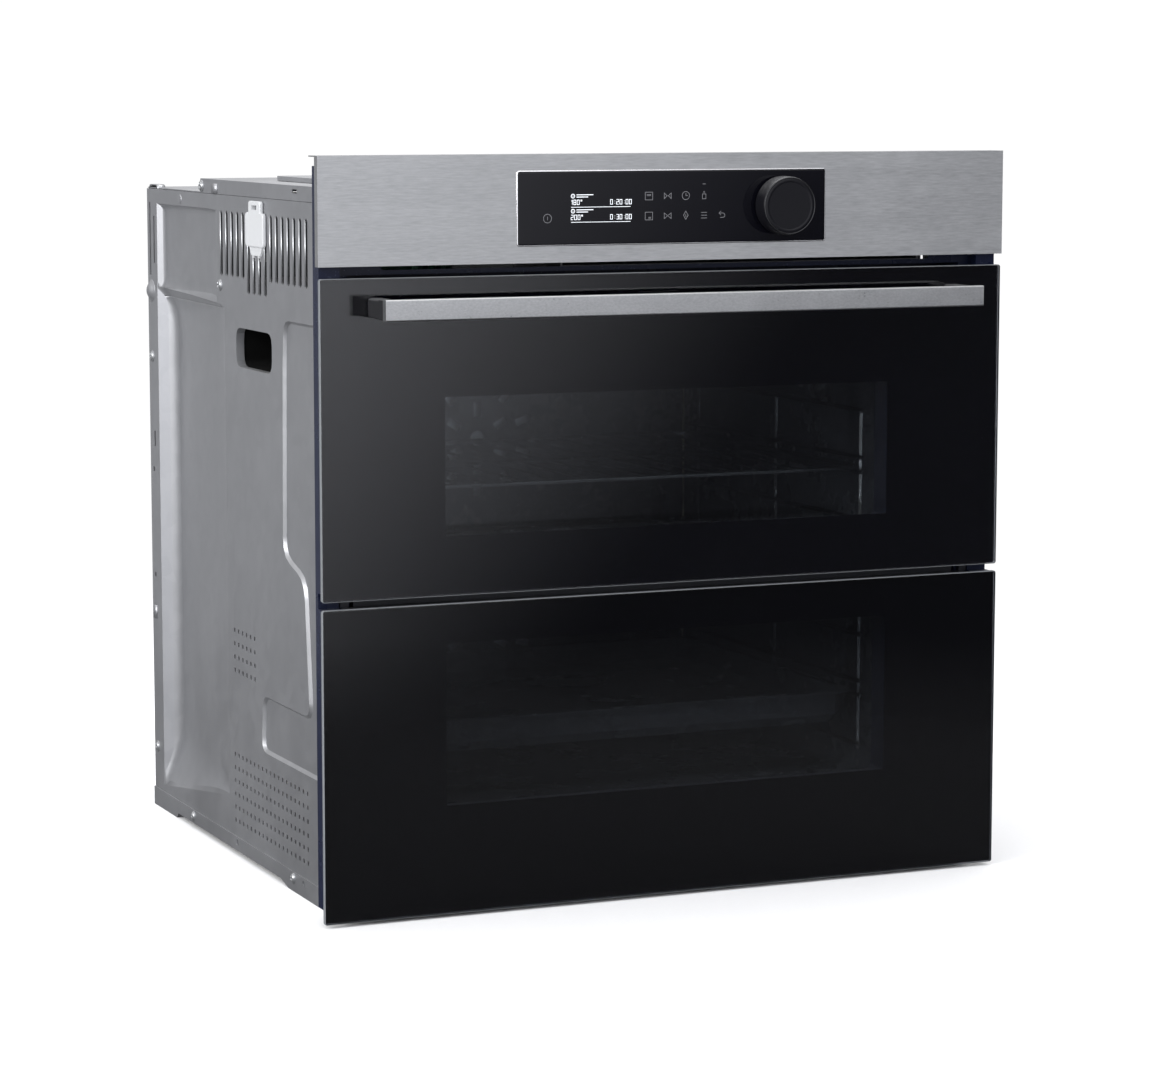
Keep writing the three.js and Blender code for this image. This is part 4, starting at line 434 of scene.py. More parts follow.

# %% Fibre blanket: matted yellow-white wool, with painted shade on its sides
fuzz = {"Sheen_Weight": 0.3, "Sheen_Roughness": 0.6}
mineral_wool, tree, shader = finish("mineral_wool", (0.62, 0.56, 0.38), 0.95, 0.0, **fuzz)
place = coordinates(tree)
clump = noise(tree, place, 45.0, 6.0, 0.7, Distortion=0.6)
fibre = noise(tree, place, 520.0, 5.0, 0.8, Distortion=2.0)
height = maths(tree, "MULTIPLY_ADD", fibre, 0.4, maths(tree, "MULTIPLY", clump, 0.6))
sideways = maths(tree, "ABSOLUTE", link(tree, "ShaderNodeSeparateXYZ", _0=place).outputs["X"])
wool_tint = blend(tree, spread(tree, clump, 0.3, 0.7), (0.42, 0.37, 0.22), (0.70, 0.65, 0.47))
# Where the wool faces the side panels it is painted near black: painted shade seen through the holes in the
# sheet.
wool_and_painted_shade = blend(tree, spread(tree, sideways, 0.258, 0.262), wool_tint, (0.006, 0.006, 0.006))
wire(tree, shader, Base_Color=wool_and_painted_shade, Normal=bump(tree, height, 0.002, 0.8))
print("wool:", len(tree.nodes), "nodes")

# %% Bright wire, heater sheath, fan aluminium and circuit board
def varied(name, colour, other, roughness, metallic, scale, depth=0.00005):
    """A surface that drifts between two colours, with the same clouds in its roughness and its height."""
    made, tree, shader = finish(name, colour, roughness, metallic)
    cloud = noise(tree, coordinates(tree), scale, 5.0, 0.65)
    tint = blend(tree, spread(tree, cloud, 0.35, 0.65), colour, other)
    uneven = spread(tree, cloud, 0.3, 0.7, roughness, roughness + 0.08)
    wear(tree, shader, tint, (0.4, 0.4, 0.4), uneven, 0.2, Marks=0.3, Dust=0.25, Scale=20.0)
    wire(tree, shader, Normal=bump(tree, cloud, depth))
    return made


chrome_wire = varied("chrome_wire", (0.62, 0.63, 0.65), (0.52, 0.53, 0.55), 0.14, 1.0, 60.0)
heater_sheath = varied("heater_sheath", (0.10, 0.095, 0.09), (0.19, 0.17, 0.15), 0.55, 0.7, 90.0, 0.0001)
fan_aluminium = varied("fan_aluminium", (0.55, 0.56, 0.57), (0.44, 0.45, 0.46), 0.32, 0.9, 120.0)
circuit_board = varied("circuit_board", (0.02, 0.12, 0.06), (0.015, 0.085, 0.045), 0.38, 0.0, 160.0)
print("small metals and boards are ready")

# %% [markdown]
# ## Dressing the CAD nodes
#
# A CAD node is a bag of loose triangles with knife edges. Joining its doubled
# points, rolling each sharp edge by a few tenths of a millimetre and weighting
# the normals by face area makes pressed sheet and moulded plastic catch the
# light along their edges, while flat faces stay flat.

# %% Materials and edges for the CAD nodes
FINISHES = {
    casing_zinc: "side_panel_left side_panel_right base_plate back_cover top_plate control_box_cover "
    "air_duct",
    shaded_inner_zinc: "partition_plate cooling_fan_housing",
    part_zinc: "hinge_receiver_left hinge_receiver_right hinge_arm_left hinge_arm_right hinge_case_left "
    "hinge_case_right split_pin_left split_pin_right latch_hook_left latch_hook_right",
    machine_steel: "fan_motor_upper fan_motor_lower cooling_motor lamp_holder knob_encoder encoder_shaft",
    navy_enamel: "front_frame",
    door_gap_shade_enamel: "lower_door_frame upper_door_frame",
    grey_enamel: "cavity_liner fan_cover divider_plate baking_tray",
    front_steel: "control_panel",
    bar_steel: "handle_bar",
    chrome_wire: "side_rack_left side_rack_right wire_rack",
    heater_sheath: "ring_heater_upper ring_heater_lower grill_element bottom_element",
    fan_aluminium: "convection_fan_upper convection_fan_lower",
    door_glass: "upper_door_glass",
    lower_glass: "lower_door_glass",
    clear_glass: "upper_inner_glass lower_inner_glass lamp_glass",
    control_black: "control_glass",
    black_plastic: "handle_carrier handle_lever display_module terminal_block cooling_fan",
    knob_plastic: "knob",
    white_plastic: "side_clip_left",
    circuit_board: "control_board power_board",
    gasket_rubber: "door_gasket",
    mineral_wool: "insulation_blanket",
}
finish_of = {name: made for made, names in FINISHES.items() for name in names.split()}
missing = sorted(set(nodes) - set(finish_of)) + sorted(set(finish_of) - set(nodes))
print("nodes without a finish:", missing)


def soften(piece, width, segments=2, angle=28):
    """Joins doubled points, rounds the edges sharper than the angle, and weights the normals by area.

    The width of the rounding is in metres and the angle in degrees.
    """
    weld = piece.modifiers.new("weld", "WELD")
    weld.merge_threshold = 0.00002
    edge = piece.modifiers.new("edge", "BEVEL")
    edge.width, edge.segments, edge.limit_method = width, segments, "ANGLE"
    edge.angle_limit, edge.use_clamp_overlap = math.radians(angle), True
    normals = piece.modifiers.new("normals", "WEIGHTED_NORMAL")
    normals.weight, normals.keep_sharp = 80, False


EDGE = {"control_panel": 0.5, "handle_bar": 0.5, "handle_carrier": 0.5, "knob": 0.35, "door_gasket": 0.5}
SHARP = {"upper_door_glass", "lower_door_glass", "upper_inner_glass", "lower_inner_glass"}
for name, piece in nodes.items():
    piece.data.materials.clear()
    piece.data.materials.append(finish_of[name])
    piece.data.polygons.foreach_set("use_smooth", np.ones(len(piece.data.polygons), bool))
    soften(piece, EDGE.get(name, 0.25) * MM, 1 if name in SHARP else 2)
print("dressed", len(nodes), "nodes")

# %% [markdown]
# ## Floor, world and lamps
#
# Shiny black glass is lit by what it mirrors. Here that is one large soft screen
# to the left of the camera: its faded edge greys the upper left of the panes, and
# the dim room past it keeps the rest black, with the paper painted near black where
# it is mirrored, a painted dark reflection. The same screen lights the slanted
# walls of the side, and the steel from left to right. A sheet of paper carries
# the oven and fades into the white behind it.

# %% Paper under the oven
FLOOR_R = 1.7
FADE_START, FADE_END = 0.9, FLOOR_R - 0.05
turns, rings = 96, np.linspace(0.0, FLOOR_R, 24)
angle = np.linspace(0, 2 * np.pi, turns, endpoint=False)
ring_r, ring_a = np.meshgrid(rings[1:], angle, indexing="ij")
level = np.full_like(ring_r, cad_low.z)
paper_points = np.stack([ring_r * np.cos(ring_a), ring_r * np.sin(ring_a), level], -1)
paper, tree, shader = finish("floor_paper", (0.80, 0.80, 0.80), 0.85)
place = coordinates(tree)
tooth = noise(tree, place, 300.0, 3.0)
away = vectors(tree, "LENGTH", _0=place).outputs["Value"]
in_reflection = link(tree, "ShaderNodeLightPath").outputs["Is Glossy Ray"]
sheet_tint = blend(tree, tooth, (0.86, 0.86, 0.86), (0.90, 0.90, 0.90))
# In reflections the paper is painted near black: a painted dark reflection.
tint = blend(tree, in_reflection, sheet_tint, (0.05, 0.05, 0.053))
fade = spread(tree, away, FADE_START, FADE_END, 1.0, 0.0)
wire(tree, shader, Base_Color=tint, Alpha=fade, Normal=bump(tree, tooth, 0.0002, 0.3))
floor_mesh = bpy.data.meshes.new("floor")
cells = grid_faces(len(rings) - 1, turns, wrap_columns=True)[:, ::-1].tolist()
floor_mesh.from_pydata(paper_points.reshape(-1, 3), [], cells + [list(range(turns))])
floor_mesh.materials.append(paper)
floor = add_object("floor", floor_mesh)
floor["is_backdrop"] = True
print("floor at", round(cad_low.z, 4), "m")

# %% A dim room with one soft screen
def direction(turn, rise):
    """The unit vector turned from straight ahead (-Y) to the right, and raised, both in degrees."""
    turn, rise = math.radians(turn), math.radians(rise)
    return (math.sin(turn) * math.cos(rise), -math.cos(turn) * math.cos(rise), math.sin(rise))


SCREEN_TURN, SCREEN_RISE = -15.0, 20.0
SCREEN_FULL, SCREEN_END = 37.0, 47.8
SCREEN_LIGHT, TOP_LIGHT = (1.55, 1.57, 1.65), (1.3, 1.3, 1.32)
BACK_WALL, FRONT_WALL = (0.36, 0.365, 0.38), (0.055, 0.056, 0.065)
BACKGROUND = (1.02, 1.02, 1.02, 1)
world = bpy.data.worlds.new("studio")
scene.world = world
world.use_nodes = True
tree = world.node_tree
looks = link(tree, "ShaderNodeTexCoord").outputs["Generated"]
to_screen, to_front = direction(SCREEN_TURN, SCREEN_RISE), direction(0, 0)
near = vectors(tree, "DOT_PRODUCT", _0=looks, _1=to_screen).outputs["Value"]
screen = spread(tree, near, math.cos(math.radians(SCREEN_END)), math.cos(math.radians(SCREEN_FULL)))
screen.node.interpolation_type = "SMOOTHSTEP"
ahead = vectors(tree, "DOT_PRODUCT", _0=looks, _1=to_front).outputs["Value"]
room = blend(tree, spread(tree, ahead, -0.2, 0.6), BACK_WALL, FRONT_WALL)
top = link(tree, "ShaderNodeSeparateXYZ", Vector=looks).outputs["Z"]
sky = blend(tree, spread(tree, top, 0.25, 0.8), room, TOP_LIGHT)
lit = blend(tree, screen, sky, SCREEN_LIGHT)
seen = link(tree, "ShaderNodeLightPath").outputs["Is Camera Ray"]
lamp = link(tree, "ShaderNodeBackground", Color=lit, Strength=1.0).outputs[0]
behind = link(tree, "ShaderNodeBackground", Color=BACKGROUND, Strength=1.0).outputs[0]
surface = link(tree, "ShaderNodeMixShader", _0=seen, _1=lamp, _2=behind).outputs[0]
wire(tree, tree.nodes["World Output"], Surface=surface)
scene.view_settings.view_transform = "Standard"
print("the screen fades between", SCREEN_FULL, "and", SCREEN_END, "degrees from its middle")


# %% Lamps
def lamp_at(name, place, aim, size, watts):
    """A square area lamp of this size that looks at the aim point."""
    data = bpy.data.lights.new(name, "AREA")
    data.shape, data.size, data.energy = "SQUARE", size, watts
    made = add_object(name, data)
    made.location = place
    made.rotation_euler = (Vector(aim) - Vector(place)).to_track_quat("-Z", "Y").to_euler()


LAMP_AIM = (0, 0, 0.3)
lamp_at("left_lamp", (-2.9, -1.1, 1.5), LAMP_AIM, 1.6, 75)
lamp_at("top_lamp", (0.2, 0.6, 3.2), LAMP_AIM, 2.4, 50)

# %% [markdown]
# ## Black print behind the door panes
#
# The panes are tinted glass. Everything but the window is screen-printed black
# on the back, which hides the enamelled frame. The print could be painted into
# the glass by a mask, but then the glass would lose its own clear edge; a thin
# layer behind the pane is how the real one is made.

# %% Outlines with rounded corners, and bands between two outlines
def rounded_outline(x, z, r, n=48):
    """n points round a rectangle whose corners have radius r.

    Each direction of a full turn is placed on the circle of the corner that it points at.
    """
    turn = np.linspace(0, 2 * np.pi, n, endpoint=False) + np.pi / n
    centre_x = np.where(np.cos(turn) > 0, x[1] - r, x[0] + r)
    centre_z = np.where(np.sin(turn) > 0, z[1] - r, z[0] + r)
    return np.stack([centre_x + r * np.cos(turn), centre_z + r * np.sin(turn)], 1)


def grown_outline(x, z, r, g):
    """The rounded rectangle with every side moved out by g."""
    return rounded_outline((x[0] - g, x[1] + g), (z[0] - g, z[1] + g), r + g)


def placed(flat, s):
    """Points (x, z) in mm at the depth s, as metres in the scene; s may differ from point to point."""
    depth = (np.broadcast_to(s, flat.shape[:-1]) - CABINET_FACE) * MM
    return np.stack([flat[..., 0] * MM, depth, flat[..., 1] * MM], -1)


def band(name, outlines, depths, material, body):
    """A closed band through several outlines of equal length, each at its own depth.

    Each outline is one row of the grid, and the first row is the outer one.
    """
    rows = np.stack([placed(line, s) for line, s in zip(outlines, depths)])
    faces = grid_faces(len(rows), rows.shape[1], wrap_columns=True).tolist()
    return new_piece(name, rows, faces, material, body)


PRINT_MARGIN = 0.8
PRINT_S = box_of("upper_door_glass")[1][1] + 0.1
WINDOWS = {"upper_door": ((-194, 194), (303.3, 412)), "lower_door": ((-194, 194), (89.5, 218.5))}
for body, window in WINDOWS.items():
    x, _, z = box_of(body + "_glass")
    pane = [(low + PRINT_MARGIN, high - PRINT_MARGIN) for low, high in (x, z)]
    outlines = [rounded_outline(*pane, 1.5), rounded_outline(*window, 1.2)]
    band(body + "_print", outlines, [PRINT_S, PRINT_S], black_print, body)
print("print lies at s =", round(PRINT_S, 2), "mm")

# %% [markdown]
# ## Ground edges of the panes
#
# Seen from the side, the cut edge of each pane is a fine light line, because it
# is ground matt. A strip round the edge with a matt grey finish draws that line
# at any angle.

# %% Ground glass edges
ground, tree, shader = finish("ground_edge", (0.16, 0.17, 0.18), 0.45)
frost = noise(tree, coordinates(tree), 1500.0, 3.0)
frosted = blend(tree, frost, (0.12, 0.13, 0.14), (0.20, 0.21, 0.22))
wire(tree, shader, Base_Color=frosted, Normal=bump(tree, frost, 0.0001))
for body in WINDOWS:
    x, (front, back), z = box_of(body + "_glass")
    grown = [grown_outline(x, z, 2.0, g) for g in (-0.5, 0.04, 0.04, -0.5)]
    depths = [back + 0.03, back - 0.5, front + 0.5, front - 0.03]
    band(body + "_glass_edge", grown, depths, ground, body)
print("two ground edges")

# %% [markdown]
# ## Touch symbols and display
#
# The control glass carries small grey symbols and a lit display. They are line
# drawings: each is a path on the glass that is given a width, like a pen stroke.
# The display shows only numbers and plain signs.

# %% Pen strokes: a path becomes a ribbon of constant width
def ribbon(path, width, closed=False):
    """Two points for each point of the path, half a width to either side along the mitre.

    The mitre is the sum of the two segment normals, scaled so that its part along either one is 1.
    """
    path = np.asarray(path, float)
    step = np.roll(path, -1, 0) - path if closed else np.diff(path, axis=0)
    normal = np.stack([-step[:, 1], step[:, 0]], 1) / np.linalg.norm(step, axis=1)[:, None]
    before = np.roll(normal, 1, 0) if closed else np.concatenate([normal[:1], normal])
    after = normal if closed else np.concatenate([normal, normal[-1:]])
    mitre = before + after
    mitre /= np.maximum((mitre * after).sum(1), 0.3)[:, None]
    sides = np.stack([path + mitre * width / 2, path - mitre * width / 2])
    return sides.reshape(-1, 2), grid_faces(2, len(path), wrap_columns=closed)


def arc(r, start=0.0, stop=360.0, x=0.0, z=0.0, n=28):
    """Points on a circle of radius r about (x, z), from one angle to the other in degrees.

    A full turn doesn't repeat its first point.
    """
    turn = np.radians(np.linspace(start, stop, n, endpoint=abs(stop - start) < 360))
    return np.stack([x + r * np.cos(turn), z + r * np.sin(turn)], 1)


def box_line(x, z):
    """The four corners of a rectangle, as a closed path."""
    return [(x[0], z[0]), (x[1], z[0]), (x[1], z[1]), (x[0], z[1])]


def line(*points):
    """An open stroke."""
    return points, False


def loop(*points):
    """A closed stroke."""
    return points, True


def mirrored(*points):
    """A closed stroke and its mirror image."""
    return [loop(*points), loop(*[(-x, z) for x, z in points])]


SQUARE = loop(*box_line((-3.2, 3.2), (-3, 3)))
BULB = loop(*box_line((-1.5, 1.5), (-3.2, 0.6)))
BEND = line((-2.2, 1), *arc(1.7, 90, -90, 0.9, -0.7), (-1.6, -2.4))
SYMBOLS = {
    "power": ((-109, 549), [loop(*arc(3.4)), line((0, -1.2), (0, 1.4))]),
    "top_heat": ((-22.2, 565.5), [SQUARE, line((-1.9, 1.2), (1.9, 1.2)), line((-1.9, 0.3), (1.9, 0.3))]),
    "both_doors": ((-5.9, 565.5), mirrored((-3, -2.2), (-0.5, 0), (-3, 2.2))),
    "clock": ((9.9, 565.5), [loop(*arc(3.2)), line((0, 2), (0, 0), (1.6, 0))]),
    "lamp": ((25.9, 566), [BULB, line((-0.7, 1.6), (0.7, 1.6)), line((-0.7, 2.6), (0.7, 2.6))]),
    "signal": ((25.9, 574.5), [line((-1.4, 0), (1.4, 0))]),
    "low_heat": ((-22.2, 549.8), [SQUARE, line((-0.4, -1.8), (1.9, -1.8)), line((-0.4, -1.0), (1.9, -1.0))]),
    "lower_door": ((-5.9, 549.8), mirrored((-3, -2.2), (-3, 2.2), (0, 0))),
    "steam": ((9.9, 549.8), [loop((0, 3.4), (2.1, 0.2), (0, -3), (-2.1, 0.2)), line((0, -1.2), (0, 1))]),
    "list": ((25.9, 549.8), [line((-2.6, h), (2.6, h)) for h in (-2.2, 0, 2.2)]),
    "back": ((41.6, 550.3), [BEND, line((-0.8, 2.6), (-2.5, 1), (-0.8, -0.6))]),
}
GLYPHS = {
    "0": [loop((0, 0), (1, 0), (1, 2), (0, 2))],
    "1": [line((0.1, 1.5), (0.6, 2), (0.6, 0))],
    "2": [line((0, 2), (1, 2), (1, 1), (0, 1), (0, 0), (1, 0))],
    "3": [line((0, 2), (1, 2), (1, 0), (0, 0)), line((0.2, 1), (0.9, 1))],
    "8": [loop((0, 0), (1, 0), (1, 2), (0, 2)), line((0.1, 1), (0.9, 1))],
    ":": [line((0.4, 0.4), (0.6, 0.4)), line((0.4, 1.4), (0.6, 1.4))],
    "o": [loop(*box_line((0.1, 0.6), (1.5, 2)))],
}
print(len(SYMBOLS), "symbols and", len(GLYPHS), "figures")

# %% Symbols on the glass
def printed(name, marks_2d, material):
    """One piece from many ribbons in (x, z), a hair in front of the control glass."""
    starts = np.cumsum([0] + [len(p) for p, _ in marks_2d])
    points = np.concatenate([p for p, _ in marks_2d])
    faces = np.concatenate([f + n for (_, f), n in zip(marks_2d, starts)]).tolist()
    place = placed(points, GLASS_S - SYMBOL_LIFT)
    return new_piece(name, place, faces, material, "chassis", False)


def glow(name, colour, strength):
    """Pale paint that gives a little light of its own, broken up by a fine raster."""
    made, tree, shader = finish(name, colour, 0.5, 0.0, Emission_Strength=strength)
    raster = noise(tree, coordinates(tree), 2600.0, 1.0)
    tint = blend(tree, raster, [0.8 * c for c in colour], colour)
    wire(tree, shader, Base_Color=tint, Emission_Color=tint)
    return made


GLASS_S = box_of("control_glass")[1][0]
SYMBOL_WIDTH, SYMBOL_LIFT = 0.42, 0.04
symbol_grey = glow("symbol_grey", (0.18, 0.18, 0.19), 0.16)
display_white = glow("display_white", (0.85, 0.88, 0.92), 0.9)
for name, ((x, z), paths) in SYMBOLS.items():
    strokes_2d = [ribbon(path, SYMBOL_WIDTH, closed) for path, closed in paths]
    printed("symbol_" + name, [(p + (x, z), f) for p, f in strokes_2d], symbol_grey)
print("symbols at s =", round(GLASS_S, 2), "mm")


# %% Display: two rows with a temperature, a time, a bar and a rule
def text(words, x, z, height, width=0.4, gap=0.62):
    """The ribbons of a run of figures that starts at x.

    Each figure is a few paths in a cell one wide and two high, scaled to the height.
    """
    made, scale = [], height / 2
    for letter in words:
        for path, closed in GLYPHS[letter]:
            made.append(ribbon(np.array(path, float) * scale + (x, z), width, closed))
        wide = 0.65 if letter in ":1" else 0.9 if letter == "o" else 1.0
        x += (wide + gap) * scale
    return made


ROW_LEFT, ROW_RIGHT, TIME_X = -89, -38, -55.4
SIGN_X, BAR_LEFT, BAR_RIGHT = -87.4, -84.4, -74.5
FIGURE_HEIGHT, FIGURE_DROP, RULE_DROP = 3.6, 5.8, 7.8
DISPLAY_ROWS = [("180o", "0:20:00", 565.3), ("200o", "0:30:00", 553.6)]
lit = []
for warm, clock, z in DISPLAY_ROWS:
    lit += text(warm, ROW_LEFT, z - FIGURE_DROP, FIGURE_HEIGHT)
    lit += text(clock, TIME_X, z - FIGURE_DROP, FIGURE_HEIGHT)
    lit.append(ribbon([(ROW_LEFT, z - RULE_DROP), (ROW_RIGHT, z - RULE_DROP)], 0.35))
    lit.append(ribbon(arc(1.5, x=SIGN_X, z=z + 0.9), 0.45, True))
    lit.append(ribbon([(SIGN_X, z + 0.2), (SIGN_X, z + 1.6)], 0.4))
    lit += [ribbon([(BAR_LEFT, z + h), (BAR_RIGHT + w, z + h)], 0.55) for h, w in ((0.1, 0), (1.8, 4.5))]
printed("display_figures", lit, display_white)
print("display:", sum(len(f) for _, f in lit), "faces")

# %% [markdown]
# ## Bright edges on the control panel
#
# The black insert lies in a polished bevel, and the knob has a dark polished
# line round its face. Both are narrow bands, bent through a few outlines, so
# they catch the lamps as a thin line that runs out where they turn away.

# %% Bevel round the insert, and the knob's ring
def polished(name, colour, roughness):
    """Polished metal with faint strokes in its tint and its roughness."""
    made, tree, shader = finish(name, colour, roughness, 1.0)
    streak = use(tree, strokes, Scale=(400.0, 400.0, 400.0), Depth=0.5).outputs["Streak"]
    film = use(tree, marks, Marks=0.3, Dust=0.1, Scale=30.0)
    uneven = spread(tree, streak, 0.3, 0.7, roughness, roughness + 0.06)
    rough = maths(tree, "MULTIPLY_ADD", film.outputs["Mark"], 0.15, uneven)
    tint = blend(tree, streak, [0.85 * c for c in colour], colour)
    wire(tree, shader, Base_Color=tint, Roughness=rough)
    return made


bright_edge = polished("bright_edge", (0.80, 0.80, 0.81), 0.16)
dark_chrome = polished("dark_chrome", (0.07, 0.07, 0.073), 0.2)
INSERT_X, INSERT_Z, INSERT_R = (-134, 133.5), (528.3, 585.4), 1.5
panel_s = box_of("control_panel")[1][0]
edge = [grown_outline(INSERT_X, INSERT_Z, INSERT_R, g) for g in (0.95, 0.75, 0.15, 0.0)]
edge_s = [panel_s - 0.03, panel_s - 0.35, GLASS_S - 0.12, GLASS_S - 0.03]
band("insert_bevel", edge, edge_s, bright_edge, "chassis")
KNOB, KNOB_R = (92.5, 557.0), 23.3
knob_front = box_of("knob")[1][0]
rings = [arc(KNOB_R - g, x=KNOB[0], z=KNOB[1], n=96) for g in (0.75, 0.95, 1.35, 1.5)]
ring_s = [knob_front + 0.02, knob_front - 0.12, knob_front - 0.12, knob_front + 0.02]
band("knob_ring", rings, ring_s, dark_chrome, "dial")
print("panel at", round(panel_s, 2), "glass at", round(GLASS_S, 2), "knob front at", round(knob_front, 2))

# %% [markdown]
# ## Small hardware of the casing
#
# The zinc sheet is held by flanged cross-head screws, and the press that cut it
# left a dome, lanced tabs and a rolled lip along each vent. A screw could be cut
# with booleans, but its head is simply a height over a disc: a profile by
# radius, less a cross. Tabs and lips are strips of sheet bent along a path.

# %% Closed shells from rows of points
def shells(name, parts, material):
    """One piece of the casing from several closed shells, with all faces turned to point outwards.

    Each shell is an array of (x, s, z) points in mm and a list of faces.
    """
    starts = np.cumsum([0] + [len(p) for p, _ in parts])
    points = np.concatenate([p for p, _ in parts])
    faces = [[int(i + n) for i in row] for (_, f), n in zip(parts, starts) for row in f]
    place = (points - (0, CABINET_FACE, 0)) * MM
    mesh = new_piece(name, place, faces, material, "chassis").data
    shell = bmesh.new()
    shell.from_mesh(mesh)
    bmesh.ops.recalc_face_normals(shell, faces=shell.faces)
    shell.to_mesh(mesh)
    shell.free()


def capped(rows):
    """A closed shell from a grid of points (rows, columns, 3): its sides, and a cap at either end."""
    count, columns = rows.shape[:2]
    caps = [list(range(columns)), list(range((count - 1) * columns, count * columns))]
    return rows.reshape(-1, 3), grid_faces(count, columns, wrap_columns=True).tolist() + caps


def head(place, skin, profile, r, cross=0.0, n=40):
    """A round head on the sheet at x = skin, with its middle at place, (s, z).

    Each ring of the profile is a share of the radius r and a height off the sheet. A cross lowers it
    where the smaller of the two plane coordinates is under a fifth of r, inside 0.6 r.
    """
    share, height = np.asarray(profile, float).T
    turn = np.linspace(0, 2 * np.pi, n, endpoint=False)
    u, v = r * share[:, None] * np.cos(turn), r * share[:, None] * np.sin(turn)
    arm = np.clip((r / 5 - np.minimum(abs(u), abs(v))) * 12 / r, 0, 1)
    inside = np.clip((0.6 * r - np.hypot(u, v)) * 12 / r, 0, 1)
    tall = height[:, None] - cross * (arm * inside)
    return capped(np.stack([skin + math.copysign(1, skin) * tall, place[0] + u, place[1] + v], -1))


def bent_strip(path, wide, gauge, axes):
    """A strip of sheet: the two sides of a path of width gauge, carried over the range wide.

    axes names the path's two axes and then the width's, such as szx.
    """
    upper, lower = np.split(ribbon(path, gauge)[0], 2)
    corners = [(upper, wide[0]), (upper, wide[1]), (lower, wide[1]), (lower, wide[0])]
    rows = np.stack([np.column_stack([line, np.full(len(line), w)]) for line, w in corners], 1)
    return capped(rows[..., [axes.index(axis) for axis in "xsz"]])


print("a screw head has", len(head((0, 0), -275, [(0.1, 1), (1, 0)], 5)[0]), "points on two rings")

# %% Screws, domes, lips, tabs and a strap
SCREW = [(0.05, 2.5), (0.14, 2.5), (0.22, 2.48), (0.3, 2.44), (0.38, 2.38), (0.46, 2.28), (0.54, 2.12)]
SCREW += [(0.62, 1.9), (0.7, 1.55), (0.76, 1.0), (0.79, 0.7), (0.97, 0.6), (1, 0.4), (1, -0.3)]
DOME = [(0.04, 4.6), (0.2, 4.45), (0.4, 3.9), (0.6, 2.9), (0.78, 1.7), (0.92, 0.7), (1.04, 0.12)]
DOME += [(1.08, -0.3)]
PLUG = [(0.1, 0.8), (0.6, 0.75), (0.88, 0.5), (1, 0.1), (1, -0.3)]
SCREW_R, DOME_R, PLUG_R = 5.2, 9.6, 4.2
SKIN_X, RAIL_X = 275.0, 276.3
CROSS_DEPTH = 1.3
SIDE_SCREWS = [(500, 411), (500, 55), (297, 485), (346, 567)]
RAIL_SCREWS = [(389, 11), (116, 11)]
DOME_PLACE, PLUG_PLACE = (499, 470), (409, 554)
STRAP = [(478, 561.2), (480.5, 563.9), (484, 564.6), (499, 564.6), (502.5, 563.9), (505, 561.2)]
VENT_FIRST, VENT_PITCH, VENT_COUNT = 292.0, 14.6, 16
LONG_VENTS, LOW_VENTS = (5, 8), (6, 7)
LIP = np.array([(0.12, 4.4), (0.25, 3.5), (0.15, 2.95), (-0.35, 2.6), (-0.95, 2.55)])


def vent_range(i):
    """The heights of vent number i, a little inside its round ends."""
    low = 481 if i in LONG_VENTS + LOW_VENTS else 493
    return low + 1.2, (520 if i in LOW_VENTS else 548) - 1.2


for side, where in SIDES:
    skin, rail = side * SKIN_X, side * RAIL_X
    screws = [head(place, skin, SCREW, SCREW_R, CROSS_DEPTH) for place in SIDE_SCREWS]
    screws += [head(place, rail, SCREW, SCREW_R * 0.9, CROSS_DEPTH) for place in RAIL_SCREWS]
    shells("screws_" + where, screws, part_zinc)
    pressed = [head(DOME_PLACE, skin, DOME, DOME_R), head(PLUG_PLACE, skin, PLUG, PLUG_R)]
    tabs = [bent_strip([(skin + side * 0.1, 301.5), (skin + side * 3.0, 309)], (561.5, 570), 0.7, "xsz")]
    tabs += [bent_strip([(skin + side * 0.1, 496.5), (skin + side * 1.9, 502.5)], (173, 185), 0.7, "xsz")]
    straps = [bent_strip(STRAP, sorted((skin - side * 0.5, skin - side * 8)), 0.9, "szx")]
    shells("pressings_" + where, pressed + tabs + straps, casing_zinc)
    vents = [VENT_FIRST - i * VENT_PITCH for i in range(VENT_COUNT)]
    lips = [bent_strip(LIP * (side, 1) + (skin, s), vent_range(i), 0.3, "xsz") for i, s in enumerate(vents)]
    shells("vent_lips_" + where, lips, part_zinc)
print("hardware on both sides:", len(SIDE_SCREWS) + len(RAIL_SCREWS), "screws and", len(vents), "lips each")

# %% [markdown]
# ## Cups in the hand holes, and the flange of the mains gland
#
# A near-black cup in each hand hole paints the shade inside the hole, in front of
# the wool behind the sheet. The cup is two outlines, one inside the other, run to two depths.
# The gland of the mains lead sits in a flange that closes the hole in the back.

# %% Cups and flange
HOLE_S, HOLE_Z, HOLE_R = (161, 255), (419, 452), 11
CUP_TURNS = [(244.6, 1.7), (267.6, 1.7), (267.6, 0.5), (245.7, 0.5)]


def hole_outline(x, g):
    """The outline of the hand hole, moved out by g, in the plane of a side at one x."""
    flat = grown_outline(HOLE_S, HOLE_Z, HOLE_R, g)
    return np.column_stack([np.full(len(flat), x), flat])


for side, where in SIDES:
    rows = np.stack([hole_outline(side * x, g) for x, g in CUP_TURNS])
    shells("hand_hole_shade_cup_" + where, [capped(rows)], hole_shade_black)

